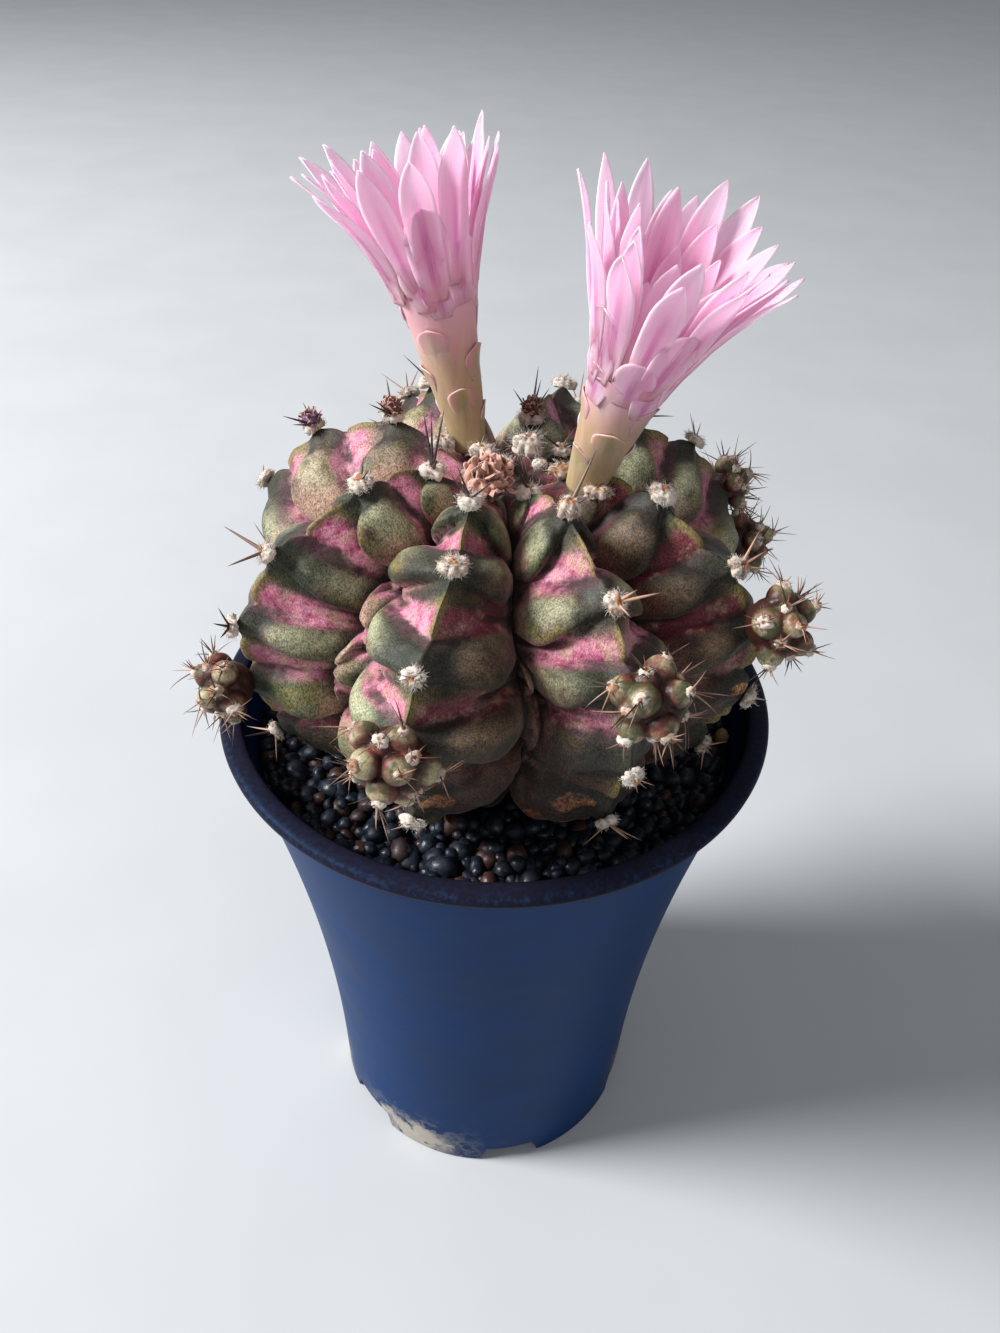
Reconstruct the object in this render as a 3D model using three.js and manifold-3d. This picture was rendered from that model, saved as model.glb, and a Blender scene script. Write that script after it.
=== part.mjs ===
// A variegated, ribbed globe cactus with offsets and flowers, growing in grit in a tall plastic pot.
// Millimetres, +Z up, origin at the middle of the pot's underside. Azimuths are in degrees, 0 towards -Y
// and growing towards +X. A polar angle is measured from the cactus's own centre, 0 straight up.

import * as THREE from "three";
import { mergeVertices } from "three/addons/utils/BufferGeometryUtils.js";
import Module from "manifold-3d";

const wasm = await Module();
wasm.setup();

// Driving dimensions.
const POT_HEIGHT = 108;
const RIM_RADIUS = 46;
const POT_WALL = 1.3;
const POT_BASE_RADIUS = 32;
const POT_FLARE = 11.5; // how much wider the wall is under the lip than at the base
const FLARE_POWER = 2.1;
const LIP_DEPTH = 2.2;
const POT_FLOOR = 2.4;
const POT_SIDES = 40;
const WALL_HEIGHTS = [30, 56, 78, 99]; // where the pot's wall and its filling bend
const NOTCHES = 6;
const NOTCH_WIDTH = 12;
const NOTCH_HEIGHT = 4.5;
const NOTCH_INNER = 26;
const SOIL_TOP = 100;
const GAP = 0.35; // clearance between pieces that touch
const GRAIN_RADIUS = 2.6;
const GRAINS = 84;
const GRAINS_FROM = 20; // distance from the axis, under the cactus

const CENTRE_Z = 122; // the point that the ribs' surface is drawn from
const EQUATOR_Z = 130.2;
const EQUATOR_RADIUS = 41;
const TOP_HEIGHT = 22.6;
const BOTTOM_HEIGHT = 35.4;
const ROUNDNESS = 0.78;
const BODY_END = 163; // polar angle where the ribs have run out under the soil
const BODY_TOP_ROWS = 22; // down to the polar angle below, and a few wide rows under it
const BODY_TURN = 134;
const BARE_CROWN = 13; // no spines above this polar angle, where the wool is
const FLOWER_CLEARANCE = 6.5;
const FLANK_STEPS = [-1, -0.8, -0.4, 0, 0.4, 0.8]; // across a rib, from valley to valley
const CHIN = 1.7; // how far a rib stands out at an areole
const CROWN_DIP = 0.85;
const CROWN_DIP_ANGLE = 20;
const PAD_RADIUS = 2.1;
const SPINE_LENGTHS = [6.5, 9];
const SPINE_RADIUS = 0.42;
const SPINE_TURNS = [30, 150, 270];
const SPINE_SUNK = 0.8;
const ROOT = [
  [0, 62],
  [4.5, 70],
  [7, 82],
  [9, 93],
  [11, 100],
  [0, 104],
];

// Each rib: its azimuth and the polar angles of its areoles, from the crown down.
const RIBS = [
  { azimuth: -16, areoles: [8, 19, 36, 65, 93, 118] },
  { azimuth: 26, areoles: [9, 22, 47, 72, 99, 121] },
  { azimuth: 64, areoles: [14, 29, 55, 79, 103, 124] },
  { azimuth: 116, areoles: [10, 25, 47, 77, 103, 124] },
  { azimuth: 161, areoles: [13, 37, 63, 90, 117] },
  { azimuth: 208, areoles: [14, 32, 53, 80, 108] },
  { azimuth: 249, areoles: [19, 42, 75, 102, 124] },
  { azimuth: 299, areoles: [12, 26, 54, 80, 104, 120] },
];

// Offsets: the rib and areole that each grows from, its core's radius and how far its axis turns upwards.
const OFFSETS = [
  { name: "offset_front_left", rib: 0, areole: 4, radius: 4.1, lift: 12 },
  { name: "offset_front_right", rib: 1, areole: 3, radius: 3.9, lift: 0 },
  { name: "offset_right", rib: 2, areole: 3, radius: 4.0, lift: 0 },
  { name: "offset_right_upper", rib: 3, areole: 3, radius: 3.1, lift: 0 },
  { name: "offset_right_lower", rib: 3, areole: 4, radius: 3.7, lift: 18 },
  { name: "offset_back", rib: 5, areole: 4, radius: 3.8, lift: 10 },
  { name: "offset_left", rib: 7, areole: 4, radius: 3.7, lift: 10 },
];

// Flowers: the foot on the crown, and how far and towards which azimuth the tube leans.
const FLOWERS = [
  { name: "flower_left", foot: [-5.4, 7.2, 149.2], lean: 13.5, leanAzimuth: 249, turn: 8, scale: 0.95 },
  { name: "flower_right", foot: [11.6, -6, 150.2], lean: 16, leanAzimuth: 60, turn: 20, scale: 0.88 },
];
const TUBE_LENGTH = 18;
const TUBE = [
  [0, -1.5],
  [2.4, -1.5],
  [2.8, 2],
  [3.6, 8],
  [4.2, 13],
  [4.7, TUBE_LENGTH],
  [3.4, TUBE_LENGTH],
  [2.5, TUBE_LENGTH - 4],
  [0, TUBE_LENGTH - 5],
];
const TUBE_SCALES = 6;
const SCALE = { length: 4.6, width: 4.2, open: [6, 12], shape: [0.7, 1, 0.4] };
const FUNNEL_FOOT = TUBE_LENGTH + GAP;
const FUNNEL_TOP = FUNNEL_FOOT + 6.5;
const FUNNEL = [
  [3.2, FUNNEL_FOOT],
  [4.7, FUNNEL_FOOT],
  [7.0, FUNNEL_TOP],
  [3.7, FUNNEL_TOP],
  [3.2, FUNNEL_FOOT],
];
const PETAL_THICKNESS = 0.75;
const THREADS = 6;

// Whorls of a flower from the outside in: height of the roots on the axis, radius there, petal sizes,
// the angles from the axis at root and tip, and the share of the width at the root, middle and tip.
const BLUNT = [0.6, 0.95, 1, 0.4];
const POINTED = [0.5, 0.85, 1, 0.12];
const WHORLS = [
  { count: 6, height: 23.2, radius: 6.8, length: 8, width: 6.4, open: [18, 26], shape: BLUNT },
  { count: 7, height: 23.4, radius: 5.95, length: 14.5, width: 6.2, open: [18, 32], shape: BLUNT },
  { count: 8, height: 23.6, radius: 5.1, length: 20, width: 6.0, open: [17, 36], shape: POINTED },
  { count: 6, height: 23.8, radius: 4.25, length: 19, width: 5.2, open: [10, 22], shape: POINTED },
];

// Buds and last season's dried bloom: where each grows, its ball's radius and its middle's rise above there.
const BUDS = [
  { name: "dried_bloom", rib: 0, areole: 0, radius: 3.2, rise: 2.6 },
  { name: "bud_left", rib: 6, areole: 1, radius: 1.5, rise: 1.6 },
  { name: "bud_left_inner", rib: 6, areole: 0, radius: 1.5, rise: 1.8 },
  { name: "bud_back", rib: 4, areole: 0, radius: 1.6, rise: 1.8 },
];

const COLOURS = {
  pot: { color: 0x1c2f4d, roughness: 0.55 },
  soil: { color: 0x15161a, roughness: 0.8 },
  body: { color: 0x6a6a4c, roughness: 0.7 },
  offset: { color: 0x8f8a66, roughness: 0.6 },
  tube: { color: 0xc9a58c, roughness: 0.55 },
  petal: { color: 0xe79ccb, roughness: 0.5 },
  stamen: { color: 0xf2e2b0, roughness: 0.7 },
  dried: { color: 0xb9806a, roughness: 0.9 },
};

const radians = THREE.MathUtils.degToRad;
const UP = new THREE.Vector3(0, 0, 1);

// A repeatable random source.
function makeRandom(seed) {
  let state = seed;
  return (low = 0, high = 1) => {
    state = (Math.imul(state, 1664525) + 1013904223) >>> 0;
    return low + ((high - low) * state) / 4294967296;
  };
}

// Solids: a closed geometry as a boolean operand, and the result back as a geometry.
function solid(geometry) {
  const bare = geometry.index ? geometry.toNonIndexed() : geometry.clone();
  bare.deleteAttribute("normal");
  bare.deleteAttribute("uv");
  const merged = mergeVertices(bare, 1e-4);
  return new wasm.Manifold(
    new wasm.Mesh({
      numProp: 3,
      vertProperties: new Float32Array(merged.attributes.position.array),
      triVerts: new Uint32Array(merged.index.array),
    }),
  );
}

function geometryOf(manifold) {
  const mesh = manifold.getMesh();
  const points = new Float32Array(mesh.numVert * 3);
  for (let i = 0; i < mesh.numVert; i++) {
    points.set(mesh.vertProperties.subarray(i * mesh.numProp, i * mesh.numProp + 3), i * 3);
  }
  const geometry = new THREE.BufferGeometry();
  geometry.setAttribute("position", new THREE.BufferAttribute(points, 3));
  geometry.setIndex(new THREE.BufferAttribute(new Uint32Array(mesh.triVerts), 1));
  return geometry;
}

function joined(geometries) {
  return geometries.map(solid).reduce((all, next) => all.add(next));
}

function largest(manifold) {
  return manifold.decompose().reduce((a, b) => (a.volume() > b.volume() ? a : b));
}

function closedMesh(points, triangles) {
  const geometry = new THREE.BufferGeometry();
  geometry.setAttribute("position", new THREE.Float32BufferAttribute(points.flat(), 3));
  geometry.setIndex(triangles.flat());
  return geometry;
}

function lathe(profile, sides) {
  const geometry = new THREE.LatheGeometry(
    profile.map(([r, z]) => new THREE.Vector2(r, z)),
    sides,
  );
  return geometry.rotateX(Math.PI / 2);
}

function aim(geometry, direction, origin) {
  geometry.applyQuaternion(new THREE.Quaternion().setFromUnitVectors(UP, direction.clone().normalize()));
  return geometry.translate(origin.x, origin.y, origin.z);
}

// A unit vector that leans away from an axis by one angle, towards a turn from side to other.
function leaning(axis, side, other, lean, turn) {
  const direction = axis.clone().multiplyScalar(Math.cos(lean));
  direction.addScaledVector(side, Math.sin(lean) * Math.cos(turn));
  return direction.addScaledVector(other, Math.sin(lean) * Math.sin(turn));
}

function scatter(random) {
  return new THREE.Vector3(random(-1, 1), random(-1, 1), random(-1, 1));
}

function piece(name, geometry, look) {
  const flat = geometry.toNonIndexed();
  flat.computeVertexNormals();
  const mesh = new THREE.Mesh(flat, new THREE.MeshStandardMaterial({ ...look, metalness: 0 }));
  mesh.name = name;
  return mesh;
}

// Pot: the wall flares towards the lip by a power of the height.
function wallRadius(z) {
  return POT_BASE_RADIUS + POT_FLARE * Math.pow(Math.max(z, 0) / (POT_HEIGHT - 3), FLARE_POWER);
}

function makePot() {
  const lipBottom = POT_HEIGHT - LIP_DEPTH;
  const outer = [0, ...WALL_HEIGHTS].map((z) => [wallRadius(z), z]);
  outer.push([wallRadius(lipBottom), lipBottom - 0.4], [RIM_RADIUS, lipBottom + 0.5]);
  outer.push([RIM_RADIUS, POT_HEIGHT - 0.9]);
  const inner = WALL_HEIGHTS.map((z) => [wallRadius(z) - POT_WALL, z]);
  inner.reverse();
  inner.unshift([wallRadius(lipBottom) - POT_WALL + 0.3, POT_HEIGHT]);
  inner.push([POT_BASE_RADIUS - POT_WALL, POT_FLOOR], [0, POT_FLOOR]);
  let pot = solid(lathe([[0, 0], ...outer, ...inner], POT_SIDES));
  for (let i = 0; i < NOTCHES; i++) {
    const notch = new THREE.BoxGeometry(NOTCH_WIDTH, 16, 2 * NOTCH_HEIGHT);
    notch.translate(0, -NOTCH_INNER - 8, 0);
    notch.rotateZ(radians(12 + (360 / NOTCHES) * i));
    pot = pot.subtract(solid(notch));
  }
  return geometryOf(pot);
}

// Cactus body. The crest of a rib is a flattened oval turned about the axis.
function crestRadius(polar) {
  return EQUATOR_RADIUS * Math.pow(Math.sin(polar), ROUNDNESS);
}

function crestHeight(polar) {
  const c = Math.cos(polar);
  return EQUATOR_Z + c * (c > 0 ? TOP_HEIGHT : BOTTOM_HEIGHT);
}

function ramp(low, high, x) {
  return THREE.MathUtils.smoothstep(x, low, high);
}

// How many areoles of a rib lie above a polar angle, as a number that grows evenly between them.
function areoleCount(rib, polar) {
  const marks = [0, ...rib.areoles.map(radians), radians(BODY_END)];
  let i = 0;
  while (i < marks.length - 2 && polar > marks[i + 1]) i++;
  return i - 1 + (polar - marks[i]) / (marks[i + 1] - marks[i]);
}

// The share of the way from the centre to the crest that the surface reaches. offset is 0 on a crest and
// 1 or -1 in the valleys beside it. Beside each areole the flank swells, and between two it is hollow.
function reach(rib, offset, polar) {
  const side = Math.abs(offset);
  const count = areoleCount(rib, polar);
  const phase = count - Math.round(count);
  const lobe = ramp(-0.42, -0.06, phase) * (1 - ramp(0.22, 0.42, phase));
  const swollen = Math.pow(1 - Math.pow(side, 2.3), 0.6);
  const hollow = 0.6 * (1 - side) + 0.4 * Math.exp(-side / 0.12) * (1 - side);
  const flank = THREE.MathUtils.lerp(hollow, swollen, lobe);
  const valley = THREE.MathUtils.lerp(0.64, 0.84, ramp(0.9, 2.5, polar));
  const crown = THREE.MathUtils.lerp(CROWN_DIP, 1, ramp(0, radians(CROWN_DIP_ANGLE), polar));
  const chin = (CHIN / EQUATOR_RADIUS) * Math.cos(Math.PI * phase) ** 2 * Math.exp(-side / 0.3);
  const ribbed = valley + (1 - valley) * flank + chin * ramp(0.1, 0.4, polar);
  const smooth = ramp(0.03, 0.3, polar) * (1 - ramp(2.62, 2.8, polar));
  return crown * THREE.MathUtils.lerp(0.9, ribbed, smooth);
}

function valleyAzimuth(index, polar) {
  const here = RIBS[index].azimuth;
  const next = RIBS[(index + 1) % RIBS.length].azimuth;
  const span = (next - here + 360) % 360;
  return here + span / 2 + 2.5 * Math.sin(5 * polar + 2 * index);
}

function bodyPoint(index, offset, polar, grow = 0) {
  const rib = RIBS[index];
  const before = (index + RIBS.length - 1) % RIBS.length;
  const edge = offset > 0 ? valleyAzimuth(index, polar) : valleyAzimuth(before, polar);
  const width = (edge - rib.azimuth + 540) % 360 - 180;
  const turn = radians(rib.azimuth + Math.abs(offset) * width);
  const share = reach(rib, offset, polar);
  const radius = crestRadius(polar) * share;
  const rise = (crestHeight(polar) - CENTRE_Z) * share;
  const length = Math.hypot(radius, rise);
  const out = 1 + grow / length;
  return [radius * out * Math.sin(turn), -radius * out * Math.cos(turn), CENTRE_Z + rise * out];
}

function makeRibbedBody(grow = 0) {
  const points = [];
  const triangles = [];
  const columns = RIBS.length * FLANK_STEPS.length;
  const polars = [];
  for (let row = 0; row < BODY_TOP_ROWS; row++) {
    polars.push(radians(3 + ((BODY_TURN - 3) * row) / (BODY_TOP_ROWS - 1)));
  }
  polars.push(radians(143), radians(152), radians(BODY_END));
  for (const polar of polars) {
    RIBS.forEach((rib, index) => {
      FLANK_STEPS.forEach((offset) => points.push(bodyPoint(index, offset, polar, grow)));
    });
  }
  const rows = polars.length;
  const top = points.push([0, 0, bodyPoint(0, 0, polars[0], grow)[2]]) - 1;
  const bottom = points.push([0, 0, bodyPoint(0, 0, polars[rows - 1], grow)[2]]) - 1;
  for (let column = 0; column < columns; column++) {
    const next = (column + 1) % columns;
    triangles.push([top, column, next]);
    for (let row = 0; row < rows - 1; row++) {
      const a = row * columns;
      triangles.push([a + column, a + columns + column, a + columns + next]);
      triangles.push([a + column, a + columns + next, a + next]);
    }
    triangles.push([bottom, (rows - 1) * columns + next, (rows - 1) * columns + column]);
  }
  const root = ROOT.map(([radius, z]) => [radius ? radius + grow : 0, z - grow]);
  return solid(closedMesh(points, triangles)).add(solid(lathe(root, 12)));
}

// The place of an areole on its rib's crest, and the way that it faces.
function areolePlace(ribIndex, areoleIndex) {
  const polar = radians(RIBS[ribIndex].areoles[areoleIndex]);
  const at = new THREE.Vector3(...bodyPoint(ribIndex, 0, polar));
  const turn = radians(RIBS[ribIndex].azimuth);
  const outward = new THREE.Vector3(Math.sin(turn), -Math.cos(turn), 0);
  const step = 0.02;
  const slope = new THREE.Vector2(
    crestRadius(polar + step) - crestRadius(polar - step),
    crestHeight(polar + step) - crestHeight(polar - step),
  ).normalize();
  const facing = outward.clone().multiplyScalar(-slope.y).addScaledVector(UP, slope.x);
  const down = outward.clone().multiplyScalar(slope.x).addScaledVector(UP, slope.y);
  const across = new THREE.Vector3().crossVectors(down, facing);
  return { at, facing, down, across, polar };
}

function spine(at, direction, length, thickness) {
  const cone = new THREE.ConeGeometry(thickness, length, 3, 1);
  cone.rotateX(Math.PI / 2).translate(0, 0, length / 2 - SPINE_SUNK);
  return aim(cone, direction, at);
}

function makeAreole(place, random) {
  const { at, facing, down, across, polar } = place;
  const parts = [aim(new THREE.OctahedronGeometry(PAD_RADIUS).scale(1, 1, 0.7), facing, at)];
  const lean = radians(random(45, 60));
  const turns = polar < radians(BARE_CROWN) ? [] : SPINE_TURNS;
  for (const turn of turns) {
    const direction = leaning(facing, across, down, lean, -radians(turn + random(-14, 14)));
    parts.push(spine(at, direction, random(...SPINE_LENGTHS), SPINE_RADIUS));
  }
  return joined(parts);
}

function makeBody() {
  const random = makeRandom(11);
  const taken = [...OFFSETS, ...BUDS].map((growth) => growth.rib + "/" + growth.areole);
  const feet = FLOWERS.map((flower) => new THREE.Vector3(...flower.foot));
  let body = makeRibbedBody();
  RIBS.forEach((rib, ribIndex) => {
    rib.areoles.forEach((polar, areoleIndex) => {
      if (taken.includes(ribIndex + "/" + areoleIndex)) return;
      const place = areolePlace(ribIndex, areoleIndex);
      const clear = feet.every((foot) => place.at.distanceTo(foot) > FLOWER_CLEARANCE);
      if (clear && place.at.z > SOIL_TOP + SPINE_LENGTHS[1]) body = body.add(makeAreole(place, random));
    });
  });
  return geometryOf(body);
}

// Soil: the pot's filling with loose grit on top, cut clear of the body.
function makeSoil() {
  const random = makeRandom(5);
  const wallGap = POT_WALL + GAP;
  const top = SOIL_TOP - 1;
  const profile = [
    [0, POT_FLOOR + GAP],
    [NOTCH_INNER - 1, POT_FLOOR + GAP],
    [NOTCH_INNER - 1, NOTCH_HEIGHT + 1],
    [POT_BASE_RADIUS - wallGap, NOTCH_HEIGHT + 1],
    ...WALL_HEIGHTS.map((z) => [wallRadius(z) - wallGap, z]),
    [0, top],
  ];
  let soil = solid(lathe(profile, POT_SIDES));
  const outer = wallRadius(SOIL_TOP) - wallGap;
  const goldenAngle = Math.PI * (3 - Math.sqrt(5));
  for (let i = 0; i < GRAINS; i++) {
    const size = GRAIN_RADIUS * random(0.75, 1.25);
    const spread = GRAINS_FROM ** 2 + (outer ** 2 - GRAINS_FROM ** 2) * ((i + 0.5) / GRAINS);
    const radius = Math.min(Math.sqrt(spread), outer - size * 1.15);
    const grain = new THREE.OctahedronGeometry(size).scale(1, random(0.8, 1), random(0.7, 0.95));
    grain.rotateX(random(0, 3)).rotateZ(random(0, 6)).translate(radius, 0, SOIL_TOP - random(0.8, 1.5));
    soil = soil.add(solid(grain.rotateZ(i * goldenAngle)));
  }
  return geometryOf(largest(soil.subtract(makeRibbedBody(GAP))));
}

// Offset: a small core with tubercles all round, each tipped by a woolly pad and spines.
function makeOffset({ rib, areole, radius, lift }, seed) {
  const random = makeRandom(seed);
  const place = areolePlace(rib, areole);
  const axis = place.facing.clone().addScaledVector(place.down, -Math.sin(radians(lift))).normalize();
  const centre = place.at.clone().addScaledVector(axis, radius * 0.75);
  const parts = [aim(new THREE.OctahedronGeometry(radius * 1.1, 1), axis, centre)];
  const side = new THREE.Vector3().crossVectors(axis, place.down).normalize();
  const other = new THREE.Vector3().crossVectors(axis, side);
  const outline = [
    [0, 0.5],
    [0.42, 0.6],
    [0.44, 1.15],
    [0.3, 1.5],
    [0, 1.62],
  ];
  const tubercle = outline.map(([r, z]) => [r * radius, z * radius]);
  const rings = [
    { count: 5, lean: 82, start: 0 },
    { count: 3, lean: 38, start: 25 },
  ];
  for (const ring of rings) {
    for (let i = 0; i < ring.count; i++) {
      const around = radians(ring.start + (360 * i) / ring.count + random(-8, 8));
      const lean = radians(ring.lean + random(-6, 6));
      const direction = leaning(axis, side, other, lean, around);
      parts.push(aim(lathe(tubercle, 4), direction, centre));
      const tip = centre.clone().addScaledVector(direction, radius * 1.5);
      const aside = direction.clone().addScaledVector(scatter(random), 0.5);
      parts.push(spine(tip, aside, random(3.5, 5), 0.34));
    }
  }
  return geometryOf(largest(joined(parts).subtract(makeRibbedBody(GAP))));
}

// A petal or scale in its flower's frame: a flat blade that starts beside the axis and arches outwards.
function makeBlade({ height, radius, length, width, open, shape }, around, thickness) {
  const points = [];
  const triangles = [];
  const quad = (a, b, c, d) => triangles.push([a, b, c], [a, c, d]);
  const steps = shape.length - 1;
  let r = radius;
  let z = height;
  shape.forEach((share, i) => {
    const angle = radians(open[0] + ((open[1] - open[0]) * i) / steps);
    const half = (share * width) / 2;
    [0, thickness].forEach((depth) => {
      const out = r - depth * Math.cos(angle);
      const rise = z + depth * Math.sin(angle);
      points.push([out, -half, rise], [out, half, rise]);
    });
    r += (length / steps) * Math.sin(angle);
    z += (length / steps) * Math.cos(angle);
  });
  for (let i = 0; i < steps; i++) {
    const a = 4 * i;
    const b = a + 4;
    quad(a, a + 1, b + 1, b);
    quad(a + 3, a + 2, b + 2, b + 3);
    quad(a + 2, a, b, b + 2);
    quad(a + 1, a + 3, b + 3, b + 1);
  }
  const end = 4 * steps;
  quad(1, 0, 2, 3);
  quad(end, end + 1, end + 3, end + 2);
  return closedMesh(points, triangles).rotateZ(around);
}

function placeFlower(geometry, flower) {
  const { scale, foot, turn } = flower;
  const ahead = new THREE.Vector3(0, -1, 0);
  const right = new THREE.Vector3(1, 0, 0);
  const axis = leaning(UP, ahead, right, radians(flower.lean), radians(flower.leanAzimuth));
  geometry.rotateZ(radians(turn)).scale(scale, scale, scale);
  return aim(geometry, axis, new THREE.Vector3(...foot));
}

function makeTube(flower) {
  const parts = [lathe(TUBE, 10)];
  for (let i = 0; i < TUBE_SCALES; i++) {
    const height = 2.2 + 1.9 * i;
    const scale = { ...SCALE, height, radius: 3.2 + 0.12 * height };
    parts.push(makeBlade(scale, i * 2.4, 1.1));
  }
  const tube = placeFlower(geometryOf(joined(parts)), flower);
  return geometryOf(largest(solid(tube).subtract(makeRibbedBody(GAP))));
}

function makePetals(flower, seed) {
  const random = makeRandom(seed);
  const parts = [lathe(FUNNEL, 14)];
  WHORLS.forEach((whorl, level) => {
    for (let i = 0; i < whorl.count; i++) {
      const around = ((i + 0.5 * (level % 2) + random(-0.12, 0.12)) * 2 * Math.PI) / whorl.count;
      const open = [whorl.open[0], whorl.open[1] + random(-4, 4)];
      const length = whorl.length * random(0.9, 1.06);
      parts.push(makeBlade({ ...whorl, open, length }, around, PETAL_THICKNESS));
    }
  });
  return placeFlower(geometryOf(largest(joined(parts))), flower);
}

// Stamens and style: a low disc on the tube's floor that carries a ring of threads round a thicker style.
function makeStamens(flower) {
  const floor = TUBE_LENGTH - 5 + GAP;
  const column = (top, bottom, height, sides) => {
    const geometry = new THREE.CylinderGeometry(top, bottom, height, sides).rotateX(Math.PI / 2);
    return geometry.translate(0, 0, height / 2);
  };
  const disc = column(1.6, 1.2, 1.2, 8).translate(0, 0, floor + 0.4);
  const style = column(0.9, 0.6, 13, 5).translate(0, 0, floor + 0.5);
  const parts = [disc, style];
  for (let i = 0; i < THREADS; i++) {
    const thread = column(0.55, 0.35, 11, 3).rotateY(0.17).translate(1.0, 0, floor + 0.8);
    parts.push(thread.rotateZ((2 * Math.PI * i) / THREADS));
  }
  return placeFlower(geometryOf(joined(parts)), flower);
}

// Bud or dried bloom: a scaly ball on its areole.
function makeBud({ rib, areole, radius, rise }, seed) {
  const random = makeRandom(seed);
  const place = areolePlace(rib, areole);
  const centre = place.at.clone().addScaledVector(place.facing, rise);
  const large = radius > 2;
  const ball = new THREE.IcosahedronGeometry(radius, large ? 1 : 0).scale(1, 1, 1.1);
  const foot = new THREE.CylinderGeometry(radius * 0.55, radius * 0.75, rise + 1, 5).rotateX(Math.PI / 2);
  const parts = [aim(ball, place.facing, centre), aim(foot.translate(0, 0, -rise / 2), place.facing, centre)];
  const flakes = large ? 7 : 3;
  for (let i = 0; i < flakes; i++) {
    const direction = place.facing.clone().multiplyScalar(0.5).add(scatter(random).normalize());
    const flake = new THREE.OctahedronGeometry(radius * 0.3).scale(1, 0.5, 1.3);
    const at = centre.clone().addScaledVector(direction.normalize(), radius);
    parts.push(aim(flake, direction, at));
  }
  return geometryOf(largest(joined(parts).subtract(makeRibbedBody(GAP))));
}

const plant = new THREE.Group();
plant.add(piece("pot", makePot(), COLOURS.pot));
plant.add(piece("soil", makeSoil(), COLOURS.soil));
plant.add(piece("cactus_body", makeBody(), COLOURS.body));
OFFSETS.forEach((offset, i) => {
  plant.add(piece(offset.name, makeOffset(offset, 40 + i), COLOURS.offset));
});
FLOWERS.forEach((flower, i) => {
  plant.add(piece(flower.name + "_tube", makeTube(flower), COLOURS.tube));
  plant.add(piece(flower.name + "_petals", makePetals(flower, 70 + i), COLOURS.petal));
  plant.add(piece(flower.name + "_stamens", makeStamens(flower), COLOURS.stamen));
});
BUDS.forEach((bud, i) => plant.add(piece(bud.name, makeBud(bud, 90 + i), COLOURS.dried)));

export default plant;
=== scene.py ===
"""A variegated, ribbed globe cactus in flower, in a tall plastic pot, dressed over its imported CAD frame.

Settings that a user would change are in metres; the shape functions work in millimetres. Azimuths are in
degrees, 0 towards -Y and growing towards +X. A polar angle is 0 straight up from the cactus's own centre.
"""

import math

import bpy
import numpy as np
from mathutils import Matrix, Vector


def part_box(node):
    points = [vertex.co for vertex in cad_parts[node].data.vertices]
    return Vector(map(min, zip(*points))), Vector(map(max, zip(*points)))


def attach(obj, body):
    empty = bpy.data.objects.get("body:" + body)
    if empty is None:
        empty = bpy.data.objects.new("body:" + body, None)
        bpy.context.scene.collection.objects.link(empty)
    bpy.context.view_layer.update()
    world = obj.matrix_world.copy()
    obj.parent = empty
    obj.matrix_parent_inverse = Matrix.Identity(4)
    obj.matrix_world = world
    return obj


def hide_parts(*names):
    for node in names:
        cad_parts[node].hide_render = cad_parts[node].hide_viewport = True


bl_info = {
    "name": "Potted globe cactus",
    "version": (1, 0, 0),
    "blender": (4, 5, 0),
    "location": "View3D > Sidebar > Cactus",
    "description": "Builds a variegated globe cactus with offsets and flowers in its pot",
    "category": "Object",
}

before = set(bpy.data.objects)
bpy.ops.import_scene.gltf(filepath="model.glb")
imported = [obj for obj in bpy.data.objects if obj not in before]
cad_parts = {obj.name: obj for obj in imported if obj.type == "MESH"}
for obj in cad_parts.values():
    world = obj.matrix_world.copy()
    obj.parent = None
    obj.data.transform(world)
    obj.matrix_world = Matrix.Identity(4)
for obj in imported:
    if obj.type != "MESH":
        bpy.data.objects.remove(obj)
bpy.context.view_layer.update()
MM = 0.001

# Pot and soil, in millimetres and degrees
BASE_RADIUS = 32
POT_FLARE = 11.5
FLARE_POWER = 2.1
FLARE_HEIGHT = 105
NOTCHES = 6
NOTCH_AZIMUTH = 12
NOTCH_HALF_ANGLE = 10.8
NOTCH_HEIGHT = 4.5
NOTCH_INNER = 26
SOIL_TOP = 100
SOIL_GAP = 1.65
POT_FLOOR_TOP = 6.0

# The pot's lip, from its root outside to its root inside: how far inside the rim's radius and below its top
LIP = [
    (1.3, 2.35),
    (0.45, 2.15),
    (0.1, 1.8),
    (0.0, 1.3),
    (0.08, 0.85),
    (0.45, 0.4),
    (1.2, 0.12),
    (2.4, 0.0),
    (3.1, 0.08),
    (3.55, 0.45),
]

# Dried water marks near the pot's foot: azimuth, half width in degrees, height and strength
STAINS = [(-75, 9, 20, 1.0), (-25, 20, 15, 1.0), (75, 10, 22, 1.0), (170, 30, 14, 0.8), (235, 18, 18, 0.8)]

# The one light grain of the grit
TAN_GRAIN = (39.0, -4.0)
TAN_GRAIN_RADIUS = 1.5

# Cactus body, in millimetres and degrees
CENTRE_Z = 122
EQUATOR_Z = 130.2
EQUATOR_RADIUS = 41
TOP_HEIGHT = 22.6
BOTTOM_HEIGHT = 35.4
ROUNDNESS = 0.78
BODY_END = 163
CROWN_DIP = 0.85
CROWN_DIP_ANGLE = 20
COLUMNS_PER_RIB = 60
LOBE_SAG = 1.3

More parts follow.
